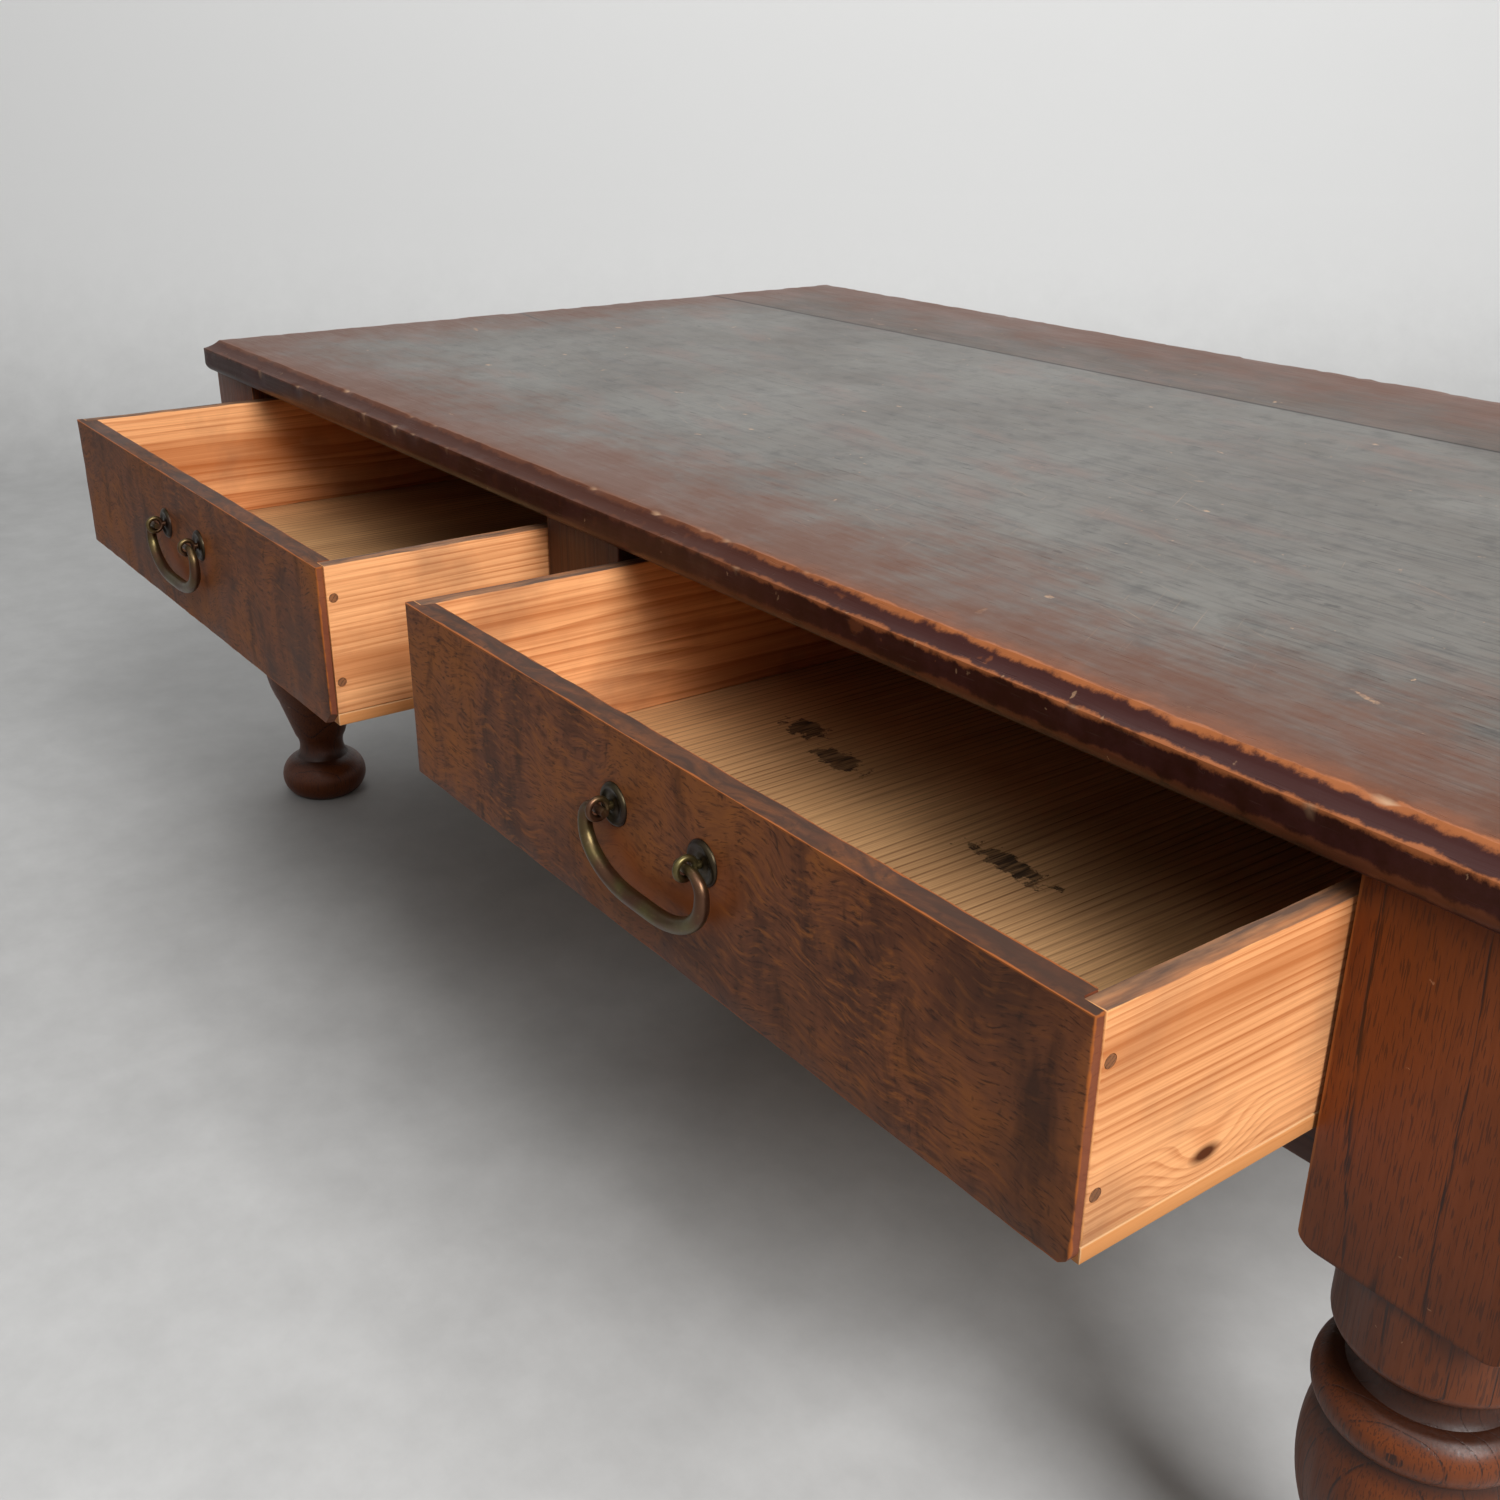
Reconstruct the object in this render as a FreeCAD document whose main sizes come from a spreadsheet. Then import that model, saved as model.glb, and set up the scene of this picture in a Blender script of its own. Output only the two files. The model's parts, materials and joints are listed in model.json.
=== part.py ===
"""Low writing desk with turned legs and two drawers, as a parametric document with one object for each piece.

Millimetres. X runs along the desk, Y from the drawers to the back and Z up from the floor. The origin is on
the floor, in the middle of the desk with its drawers pulled out. Every size is a named cell of the sheet, and
every piece is bound to those cells.
"""

import FreeCAD
import Part

import math
import os

import Sketcher

Vector = FreeCAD.Vector

# Driving sizes: name, number, meaning
SIZES = (
    ("post_width", "68", "square of a leg's upper block"),
    ("block_height", "130", "height of that block"),
    ("pommel_drop", "5", "height of the lathe-rounded corners under the block"),
    ("pommel_start", "9", "that rounding's start outside the block's faces"),
    ("sole_radius", "22", "flat of the foot on the floor"),
    ("bun_radius", "31.5", "bun foot at its widest"),
    ("bun_rise", "14.5", "floor to the widest of the bun"),
    ("bun_shoulder", "16.5", "widest of the bun to its top"),
    ("bun_top_radius", "19.5", "top of the bun"),
    ("neck_radius", "16.4", "ankle above the bun"),
    ("neck_rise", "8.5", "top of the bun to the narrowest of the ankle"),
    ("neck_sweep", "9.5", "narrowest of the ankle to the start of the taper"),
    ("taper_radius", "19", "start of the vase's straight taper"),
    ("taper_rise", "30", "height of the straight taper"),
    ("bulb_start_radius", "28.5", "start of the vase's bulb"),
    ("bulb_radius", "35.8", "bulb at its widest"),
    ("bulb_rise", "29", "start of the bulb to its widest"),
    ("bulb_shoulder", "26", "widest of the bulb to the crease under the ring"),
    ("crease_radius", "32.2", "crease between bulb and ring"),
    ("ring_radius", "35.8", "ring at its widest"),
    ("ring_half", "8.75", "half the ring's height"),
    ("ring_top_radius", "30", "top of the ring"),
    ("cove_edge_radius", "26.5", "upper and lower edge of the cove"),
    ("cove_radius", "24", "cove at its narrowest"),
    ("cove_half", "6.25", "half the cove's height"),
    ("collar_radius", "33.6", "round collar under the block"),
    ("collar_round", "6.5", "rounding of the collar's lower edge"),
    ("collar_height", "31", "height of the collar"),
    ("frame_depth", "557", "front of the front legs to the back of the back legs"),
    ("stile_width", "67", "upright between the drawers"),
    ("stile_thick", "25", "thickness of that upright"),
    ("rail_thick", "14.6", "height of the front rail and the runners"),
    ("rail_depth", "60", "front rail from front to back"),
    ("front_setback", "4", "front rail and stile behind the legs' front"),
    ("apron_thick", "20", "thickness of the aprons"),
    ("apron_setback", "6", "aprons behind the legs' outer faces"),
    ("tenon_long", "25", "tenons into the legs"),
    ("tenon_thick", "8", "tenon of the rail and of the stile"),
    ("apron_tenon", "10", "thickness of an apron's tenon"),
    ("tenon_shoulder", "10", "tenon edges inside the edges of its rail"),
    ("joint_play", "0.2", "glue line round a tenon, tongue or peg"),
    ("runner_ledge", "35", "ledge under each drawer side"),
    ("guide_height", "20", "strips that steer the drawers"),
    ("stop_width", "28", "drawer stop along the desk"),
    ("stop_depth", "18", "drawer stop from front to back"),
    ("stop_height", "26", "drawer stop above its runner"),
    ("block_long", "45", "glue blocks under the top"),
    ("block_side", "16", "section of a glue block"),
    ("top_thick", "22", "thickness of the top"),
    ("top_overhang", "6", "top beyond the legs on all sides"),
    ("back_board", "136", "width of the top's back board"),
    ("edge_round", "6", "rounding under the top's edge"),
    ("cove_width", "9", "hollow chamfer of the top, across"),
    ("cove_drop", "6", "hollow chamfer of the top, down"),
    ("cove_hollow", "0.9", "depth of the hollow in that chamfer"),
    ("tongue_thick", "6", "loose tongue in the top"),
    ("tongue_width", "24", "loose tongue across the joint"),
    ("tongue_inset", "60", "tongue short of the top's ends"),
    ("drawer_width", "398", "drawer over its sides"),
    ("drawer_height", "80", "drawer front"),
    ("back_room", "60", "room behind a shut drawer for its stop"),
    ("drawer_play", "1.5", "gap beside a drawer"),
    ("drawer_lift", "0.4", "gap under a drawer"),
    ("drawer_head", "9", "gap over a drawer"),
    ("drawer_recess", "1", "shut drawer front behind the legs' front"),
    ("left_out", "118", "left drawer pulled out"),
    ("right_out", "106", "right drawer pulled out"),
    ("front_thick", "11", "thickness of a drawer front"),
    ("front_lip", "4", "front covering the ends of the sides and the bottom"),
    ("side_thick", "8.5", "thickness of drawer sides and back"),
    ("bottom_thick", "6", "thickness of a drawer bottom"),
    ("peg_radius", "2.1", "wooden pegs in the drawer corners"),
    ("peg_long", "20", "length of a peg"),
    ("peg_low", "22", "lower pegs above the drawer's underside"),
    ("peg_high", "64", "upper pegs above the drawer's underside"),
    ("eye_spacing", "56", "between the two eyes of a handle"),
    ("eye_height", "50", "eyes above the drawer's underside"),
    ("eye_reach", "7", "bail's axis in front of the drawer"),
    ("eye_bore", "2.5", "radius of the hole in an eye"),
    ("eye_wire", "1.3", "radius of the eye's wire"),
    ("shank_radius", "1.6", "split pin through the drawer front"),
    ("clench_long", "9", "pin's ends bent over inside the front"),
    ("rosette_radius", "8.5", "rosette against the drawer front"),
    ("rosette_crown", "6.6", "flat crown of the rosette"),
    ("rosette_thick", "1.6", "thickness of the rosette"),
    ("bail_half_width", "37.5", "bail's axis at its widest, from the middle"),
    ("bail_drop", "26.5", "bail's axis at its lowest, under the eyes"),
    ("bail_upright", "1.5", "straight of the bail between a hook and a lower bend"),
    ("bail_hook", "7", "radius of the hooks at the bail's ends"),
    ("bail_sweep", "30", "lower bends of the bail, along the desk"),
    ("bail_tip", "5", "bail's ends past the middle of the eyes"),
    ("bail_end_radius", "1.6", "rod at the bail's ends"),
    ("bail_middle_radius", "3.3", "rod at the bail's middle"),
)

# Places worked out from the sizes: name, formula
PLACES = (
    ("bun_top", "=bun_rise + bun_shoulder"),
    ("neck_middle", "=bun_top + neck_rise"),
    ("taper_start", "=neck_middle + neck_sweep"),
    ("bulb_start", "=taper_start + taper_rise"),
    ("bulb_middle", "=bulb_start + bulb_rise"),
    ("crease", "=bulb_middle + bulb_shoulder"),
    ("ring_middle", "=crease + ring_half"),
    ("ring_top", "=ring_middle + ring_half"),
    ("cove_middle", "=ring_top + cove_half"),
    ("collar_bottom", "=cove_middle + cove_half"),
    ("block_bottom", "=collar_bottom + collar_height"),
    ("top_bottom", "=block_bottom + block_height"),
    ("drawer_bottom", "=top_bottom - drawer_head - drawer_height"),
    ("runner_top", "=drawer_bottom - drawer_lift"),
    ("rail_bottom", "=runner_top - rail_thick"),
    ("opening", "=drawer_width + 2 * drawer_play"),
    ("stile_side", "=stile_width / 2"),
    ("post_inner", "=stile_side + opening"),
    ("frame_side", "=post_inner + post_width"),
    ("apron_outer", "=frame_side - apron_setback"),
    ("apron_inner", "=apron_outer - apron_thick"),
    ("ledge_side", "=post_inner - runner_ledge"),
    ("handle_front", "=max(left_out; right_out) - drawer_recess + eye_reach + bail_middle_radius"),
    ("frame_front", "=(handle_front - frame_depth - top_overhang) / 2"),
    ("frame_back", "=frame_front + frame_depth"),
    ("front_face", "=frame_front + front_setback"),
    ("rail_back", "=front_face + rail_depth"),
    ("post_back", "=frame_front + post_width"),
    ("rear_post", "=frame_back - post_width"),
    ("back_outer", "=frame_back - apron_setback"),
    ("back_inner", "=back_outer - apron_thick"),
    ("shut_front", "=frame_front + drawer_recess"),
    ("shut_back", "=back_inner - back_room"),
    ("drawer_depth", "=shut_back - shut_front"),
    ("top_length", "=2 * (frame_side + top_overhang)"),
    ("top_front", "=frame_front - top_overhang"),
    ("seam", "=frame_back + top_overhang - back_board"),
    ("front_board", "=seam - top_front"),
    ("apron_height", "=top_bottom - rail_bottom"),
    ("cove_chord", "=sqrt(cove_width * cove_width + cove_drop * cove_drop)"),
    ("eye_ring", "=eye_bore + eye_wire"),
    ("bail_bend", "=bail_drop - bail_hook - bail_upright"),
)

QUARTER = "(1 - sqrt(0.5))"
BAIL_STEPS = 12
BEND_STEPS = 24

doc = FreeCAD.newDocument("low_writing_desk")
sheet = doc.addObject("Spreadsheet::Sheet", "Sizes")
for row, (name, number, meaning) in enumerate(SIZES, start=1):
    sheet.set(f"A{row}", meaning)
    sheet.set(f"B{row}", number)
    sheet.setAlias(f"B{row}", name)
for row, (name, formula) in enumerate(PLACES, start=1):
    sheet.set(f"D{row}", formula)
    sheet.setAlias(f"D{row}", name)
doc.recompute()

NAMES = sorted([size[0] for size in SIZES] + [place[0] for place in PLACES], key=len, reverse=True)
pieces = []


def bound(expression):
    """Returns an expression in cell names as one that a document object can hold."""
    words = []
    word = ""
    for letter in expression + " ":
        if letter.isalnum() or letter in "_.":
            word += letter
            continue
        words.append(f"Sizes.{word}" if word in NAMES else word)
        words.append(letter)
        word = ""
    return "".join(words).strip()


def size(expression):
    """Returns the number that an expression in cell names stands for now."""
    number = sheet.evalExpression(expression)
    return float(getattr(number, "Value", number))


def bind(thing, **properties):
    """Binds properties of a document object to expressions in cell names; x, y and z are its place."""
    for key, expression in properties.items():
        path = f"Placement.Base.{key}" if key in "xyz" else key
        thing.setExpression(path, bound(expression))


def piece(thing, label):
    """Gives a finished piece its label and lists it for writing."""
    thing.Label = label
    pieces.append(thing)
    return thing


def box(name, x, y, z):
    """Returns a box between pairs of expressions along each axis."""
    thing = doc.addObject("Part::Box", name)
    bind(thing, Length=f"({x[1]}) - ({x[0]})", Width=f"({y[1]}) - ({y[0]})", Height=f"({z[1]}) - ({z[0]})")
    bind(thing, x=x[0], y=y[0], z=z[0])
    return thing


TURNS = {
    "x": FreeCAD.Rotation(Vector(0, 1, 0), 90),
    "y": FreeCAD.Rotation(Vector(1, 0, 0), -90),
    "z": FreeCAD.Rotation(),
}


def rod(name, axis, radius, long, start):
    """Returns a round rod along an axis, from a start point."""
    thing = doc.addObject("Part::Cylinder", name)
    thing.Placement = FreeCAD.Placement(Vector(), TURNS[axis])
    bind(thing, Radius=radius, Height=long, x=start[0], y=start[1], z=start[2])
    return thing


def together(name, things):
    """Returns separate solids as one group."""
    group = doc.addObject("Part::Compound", name)
    group.Links = things
    return group


def fuse(name, things):
    """Returns things joined into one solid."""
    thing = doc.addObject("Part::MultiFuse", name)
    thing.Shapes = things
    return thing


def cut(name, base, tools):
    """Returns a base with all the tools cut out of it."""
    thing = doc.addObject("Part::Cut", name)
    thing.Base = base
    thing.Tool = tools[0] if len(tools) == 1 else together(f"{name}_tools", tools)
    return thing


def plane(body, role):
    """Returns one of a body's own origin planes."""
    return next(feature for feature in body.Origin.OriginFeatures if feature.Role == role)


def new_sketch(body, name, role):
    """Returns an empty sketch on one of a body's origin planes."""
    sketch = body.newObject("Sketcher::SketchObject", name)
    sketch.AttachmentSupport = (plane(body, role), [""])
    sketch.MapMode = "FlatFace"
    return sketch


def pin(sketch, curve, end, across, up):
    """Holds one point of a sketch curve at two expressions, measured from the sketch's origin."""
    for kind, axis, expression in (("DistanceX", -2, across), ("DistanceY", -1, up)):
        if expression == "0":
            sketch.addConstraint(Sketcher.Constraint("PointOnObject", curve, end, axis))
            continue
        index = sketch.addConstraint(Sketcher.Constraint(kind, -1, 1, curve, end, size(expression)))
        sketch.setExpression(f"Constraints[{index}]", bound(expression))


def loop(sketch, steps):
    """Draws one closed loop: a step is the next corner, or, for an arc, a point on the way and the corner."""
    spots = [Vector(size(step[-2]), size(step[-1]), 0) for step in steps]
    ends = []
    for index, step in enumerate(steps):
        before = spots[index - 1]
        if len(step) == 2:
            curve = sketch.addGeometry(Part.LineSegment(before, spots[index]), False)
            ends.append((curve, 1, 2))
            continue
        way = Vector(size(step[0]), size(step[1]), 0)
        forward = (way - before).cross(spots[index] - way).z > 0
        first, last = (before, spots[index]) if forward else (spots[index], before)
        curve = sketch.addGeometry(Part.ArcOfCircle(first, way, last), False)
        ends.append((curve, 1, 2) if forward else (curve, 2, 1))
        spot = sketch.addGeometry(Part.Point(way), True)
        pin(sketch, spot, 1, step[0], step[1])
        sketch.addConstraint(Sketcher.Constraint("PointOnObject", spot, 1, curve))
    for index, step in enumerate(steps):
        curve, _, end = ends[index]
        following, start, _ = ends[(index + 1) % len(steps)]
        sketch.addConstraint(Sketcher.Constraint("Coincident", curve, end, following, start))
        pin(sketch, curve, end, step[-2], step[-1])


def turned_profile():
    """Returns the turned part of a leg as radius and height, from the sole to the block."""
    rounded = f"collar_round * {QUARTER}"
    collar_way = (f"collar_radius - {rounded}", f"collar_bottom + {rounded}")
    return (
        ("0", "0"),
        ("sole_radius", "0"),
        ("bun_radius", "bun_rise", "bun_top_radius", "bun_top"),
        ("neck_radius", "neck_middle", "taper_radius", "taper_start"),
        ("bulb_start_radius", "bulb_start"),
        ("bulb_radius", "bulb_middle", "crease_radius", "crease"),
        ("ring_radius", "ring_middle", "ring_top_radius", "ring_top"),
        ("cove_edge_radius", "ring_top"),
        ("cove_radius", "cove_middle", "cove_edge_radius", "collar_bottom"),
        ("collar_radius - collar_round", "collar_bottom"),
        collar_way + ("collar_radius", "collar_bottom + collar_round"),
        ("collar_radius", "block_bottom"),
        ("0", "block_bottom"),
    )


def leg(name, x, y, mortises):
    """Builds one leg about its own axis: turned part, square block with rounded lower corners, mortises."""
    body = doc.addObject("PartDesign::Body", f"{name}_wood")
    profile = new_sketch(body, f"{name}_profile", "XZ_Plane")
    loop(profile, turned_profile())
    turning = body.newObject("PartDesign::Revolution", f"{name}_turning")
    turning.Profile = profile
    turning.ReferenceAxis = (profile, ["V_Axis"])
    turning.Angle = 360
    square = new_sketch(body, f"{name}_square", "XY_Plane")
    square.setExpression("AttachmentOffset.Base.z", bound("block_bottom"))
    half = "post_width / 2"
    corners = ((f"-{half}", f"-{half}"), (half, f"-{half}"), (half, half), (f"-{half}", half))
    loop(square, corners)
    block = body.newObject("PartDesign::Pad", f"{name}_block")
    block.Profile = square
    bind(block, Length="block_height")
    shoulder = new_sketch(body, f"{name}_shoulder", "XZ_Plane")
    corner = "post_width * sqrt(0.5)"
    inner = f"({half} + pommel_start)"
    outside = f"{corner} + pommel_drop"
    way = (f"{inner} + ({corner} - {inner}) * sqrt(0.5)", f"block_bottom + pommel_drop * {QUARTER}")
    loop(
        shoulder,
        (
            way + (inner, "block_bottom"),
            (outside, "block_bottom"),
            (outside, "block_bottom + pommel_drop"),
            (corner, "block_bottom + pommel_drop"),
        ),
    )
    rounding = body.newObject("PartDesign::Groove", f"{name}_pommel")
    rounding.Profile = shoulder
    rounding.ReferenceAxis = (shoulder, ["V_Axis"])
    rounding.Angle = 360
    body.Tip = rounding
    bind(body, x=x, y=y)
    return piece(cut(f"{name}_mortised", body, mortises), name)


def moulding(across, up):
    """Returns the moulded edge of the top as steps, from its underside to its upper face.

    Args:
        across: makes an expression for a distance in from the outermost edge.
        up: makes an expression for a height above the underside.
    """
    near = f"edge_round * {QUARTER}"
    middle = "cove_width / 2 + cove_hollow * cove_drop / cove_chord"
    lower = "top_thick - cove_drop / 2 - cove_hollow * cove_width / cove_chord"
    return (
        (across("edge_round"), up("0")),
        (across(near), up(near), across("0"), up("edge_round")),
        (across("0"), up("top_thick - cove_drop")),
        (across(middle), up(lower), across("cove_width"), up("top_thick")),
    )


def top_board(name, width, moulded_side, y, groove):
    """Builds one board of the top: moulded along one side and both ends, grooved for the tongue."""
    body = doc.addObject("PartDesign::Body", f"{name}_wood")
    section = new_sketch(body, f"{name}_section", "YZ_Plane")
    if moulded_side == "front":
        steps = moulding(lambda inward: inward, lambda height: height)
        loop(section, steps + ((width, "top_thick"), (width, "0")))
    else:
        steps = moulding(lambda inward: f"{width} - ({inward})", lambda height: height)
        loop(section, steps + (("0", "top_thick"), ("0", "0")))
    board = body.newObject("PartDesign::Pad", f"{name}_board")
    board.Profile = section
    bind(board, Length="top_length")
    doc.recompute()
    waste = new_sketch(body, f"{name}_ends", "XZ_Plane")
    for across in (lambda inward: inward, lambda inward: f"top_length - ({inward})"):
        steps = moulding(across, lambda height: height)
        loop(waste, ((across("0"), "0"), steps[0], steps[1]))
        loop(waste, (steps[2], steps[3], (across("0"), "top_thick")))
    ends = body.newObject("PartDesign::Pocket", f"{name}_mouldings")
    ends.Profile = waste
    ends.Type = "ThroughAll"
    ends.SideType = "Symmetric"
    doc.recompute()
    if not ends.Shape.Volume < board.Shape.Volume:
        raise RuntimeError(f"{name}: the end mouldings cut nothing")
    body.Tip = ends
    bind(body, x="-top_length / 2", y=y, z="top_bottom")
    return piece(cut(f"{name}_grooved", body, [groove]), name)


def grown(low, high):
    """Returns a pair of expressions opened by the glue line at both ends."""
    return (f"{low} - joint_play", f"{high} + joint_play")


def tenon(name, x, y, z):
    """Returns a tenon and the mortise that takes it."""
    return box(f"{name}_tenon", x, y, z), box(f"{name}_mortise", grown(*x), grown(*y), grown(*z))


def build_top():
    """Builds the two boards of the top and the loose tongue between them."""
    middle = "top_bottom + (top_thick - tongue_thick) / 2"
    x = ("tongue_inset - top_length / 2", "top_length / 2 - tongue_inset")
    y = ("seam - tongue_width / 2", "seam + tongue_width / 2")
    z = (middle, f"{middle} + tongue_thick")
    tongue, groove = tenon("tongue", x, y, z)
    top_board("top_front_board", "front_board", "front", "top_front", groove)
    top_board("top_back_board", "back_board", "back", "seam", groove)
    piece(tongue, "top_tongue")


def build_frame():
    """Builds the legs, the aprons, the front rail and the stile, each tenon with its mortise."""
    mortises = {"front_left": [], "front_right": [], "back_left": [], "back_right": []}
    high = ("rail_bottom", "top_bottom")
    tenon_high = ("rail_bottom + tenon_shoulder", "top_bottom - tenon_shoulder")
    rail_low = "(rail_thick - tenon_thick) / 2"
    rail_tenon = (f"rail_bottom + {rail_low}", f"runner_top - {rail_low}")
    rail_inside = ("front_face + tenon_shoulder", "rail_back - tenon_shoulder")
    back_middle = "(back_inner + apron_thick / 2)"
    back_inside = (f"{back_middle} - apron_tenon / 2", f"{back_middle} + apron_tenon / 2")
    between = ("-post_inner", "post_inner")
    rail_parts = [box("rail_board", between, ("front_face", "rail_back"), ("rail_bottom", "runner_top"))]
    back_parts = [box("back_board_wood", between, ("back_inner", "back_outer"), high)]
    apron_ends = (
        ("front", ("post_back - tenon_long", "post_back")),
        ("back", ("rear_post", "rear_post + tenon_long")),
    )
    for side, sign in (("left", "-"), ("right", "")):
        reach = ("post_inner", "post_inner + tenon_long")
        x = reach if sign == "" else (f"-({reach[1]})", f"-{reach[0]}")
        wood, hole = tenon(f"rail_{side}", x, rail_inside, rail_tenon)
        rail_parts.append(wood)
        mortises[f"front_{side}"].append(hole)
        wood, hole = tenon(f"back_{side}", x, back_inside, tenon_high)
        back_parts.append(wood)
        mortises[f"back_{side}"].append(hole)
        faces = ("apron_inner", "apron_outer") if sign == "" else ("-apron_outer", "-apron_inner")
        middle = f"{sign}(apron_inner + apron_thick / 2)"
        cheeks = (f"{middle} - apron_tenon / 2", f"{middle} + apron_tenon / 2")
        apron = [box(f"{side}_apron_wood", faces, ("post_back", "rear_post"), high)]
        for end, y in apron_ends:
            wood, hole = tenon(f"{side}_{end}", cheeks, y, tenon_high)
            apron.append(wood)
            mortises[f"{end}_{side}"].append(hole)
        piece(fuse(f"{side}_apron", apron), f"apron_{side}")
    piece(fuse("rear_apron", back_parts), "apron_back")
    for corner, holes in mortises.items():
        end, side = corner.split("_")
        axis = "(frame_side - post_width / 2)"
        x = axis if side == "right" else f"-{axis}"
        y = "frame_front + post_width / 2" if end == "front" else "frame_back - post_width / 2"
        leg(f"leg_{corner}", x, y, holes)
    x = ("-stile_side", "stile_side")
    y = ("front_face", "front_face + stile_thick")
    foot_x = ("tenon_shoulder - stile_side", "stile_side - tenon_shoulder")
    foot_y = ("front_face + (stile_thick - tenon_thick) / 2", "front_face + (stile_thick + tenon_thick) / 2")
    foot, hole = tenon("stile", foot_x, foot_y, ("runner_top - tenon_thick", "runner_top"))
    stile = box("stile_wood", x, y, ("runner_top", "top_bottom"))
    piece(fuse("stile_whole", [stile, foot]), "centre_stile")
    piece(cut("rail_whole", fuse("rail_wood", rail_parts), [hole]), "front_rail")


def build_carriage():
    """Builds what carries, steers and stops the drawers, and the glue blocks that hold the top."""
    runner = ("rail_bottom", "runner_top")
    guide = ("runner_top", "runner_top + guide_height")
    stop = ("runner_top", "runner_top + stop_height")
    behind = ("shut_back", "shut_back + stop_depth")
    between = ("post_back", "rear_post")
    stops = []
    blocks = []
    for side, sign in (("left", -1), ("right", 1)):
        def across(low, high):
            return (low, high) if sign > 0 else (f"-({high})", f"-({low})")
        piece(box(f"{side}_runner", across("ledge_side", "apron_inner"), between, runner), f"runner_{side}")
        piece(box(f"{side}_guide", across("post_inner", "apron_inner"), between, guide), f"guide_{side}")
        outer = across("post_inner - stop_width", "post_inner")
        inner = across("stile_side", "stile_side + stop_width")
        stops.append(box(f"{side}_outer_stop", outer, behind, stop))
        stops.append(box(f"{side}_inner_stop", inner, behind, stop))
        corner = across("apron_inner - block_side", "apron_inner")
        under = ("top_bottom - block_side", "top_bottom")
        for place, y in (("front", "post_back + block_long"), ("back", "rear_post - 2 * block_long")):
            blocks.append(box(f"{side}_{place}_block", corner, (y, f"{y} + block_long"), under))
        x = across("post_inner / 2 - block_long / 2", "post_inner / 2 + block_long / 2")
        blocks.append(box(f"{side}_rear_block", x, ("back_inner - block_side", "back_inner"), under))
    middle = ("-(stile_side + runner_ledge)", "stile_side + runner_ledge")
    piece(box("middle_runner", middle, ("rail_back", "back_inner"), runner), "runner_centre")
    guide_y = ("front_face + stile_thick", "back_inner")
    piece(box("middle_guide", ("-stile_side", "stile_side"), guide_y, guide), "guide_centre")
    piece(together("stops", stops), "drawer_stops")
    piece(together("blocks", blocks), "top_blocks")


def bail_axis():
    """Returns close points along the right half of the bail's axis, tip to middle, as x and z."""
    wide = size("bail_half_width")
    hook = size("bail_hook")
    bend = size("bail_bend")
    sweep = size("bail_sweep")
    low = size("bail_hook + bail_upright")
    spots = [(size("eye_spacing / 2 - bail_tip"), 0.0)]
    for step in range(BEND_STEPS + 1):
        angle = math.pi / 2 * step / BEND_STEPS
        spots.append((wide - hook + hook * math.sin(angle), hook * math.cos(angle) - hook))
    for step in range(BEND_STEPS + 1):
        angle = math.pi / 2 * step / BEND_STEPS
        spots.append((wide - sweep + sweep * math.cos(angle), -low - bend * math.sin(angle)))
    spots.append((0.0, -low - bend))
    return spots


def bail_half():
    """Returns even stations along the right half of the bail's axis, tip to middle, as x, z and heading."""
    spots = bail_axis()
    runs = [(math.dist(a, b), a, b) for a, b in zip(spots, spots[1:])]
    whole = sum(run[0] for run in runs)
    stations = []
    for step in range(BAIL_STEPS + 1):
        left_over = whole * step / BAIL_STEPS
        for length, a, b in runs:
            if left_over <= length or b == spots[-1]:
                break
            left_over -= length
        x = a[0] + (b[0] - a[0]) * left_over / length
        z = a[1] + (b[1] - a[1]) * left_over / length
        stations.append((x, z, math.atan2(a[1] - b[1], b[0] - a[0])))
    return stations


def bail_rod(centre_x, axis_y, axis_z):
    """Returns the bail: hooks through the eyes, bends out and down, and thickens to its middle."""
    thin = size("bail_end_radius")
    thick = size("bail_middle_radius")
    rings = []
    for step, (x, z, heading) in enumerate(bail_half()):
        radius = thin + (thick - thin) * math.sin(math.pi / 2 * step / BAIL_STEPS)
        rings.append((x, z, heading, radius))
    rings += [(-x, z, -heading, radius) for x, z, heading, radius in reversed(rings[:-1])]
    wires = []
    for x, z, heading, radius in rings:
        spot = Vector(centre_x + x, axis_y, axis_z + z)
        along = Vector(math.cos(heading), 0, -math.sin(heading))
        circle = Part.Circle(spot, along, radius)
        circle.XAxis = Vector(0, 1, 0)
        wires.append(Part.Wire(circle.toShape()))
    return Part.makeLoft(wires, True, True)


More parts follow.
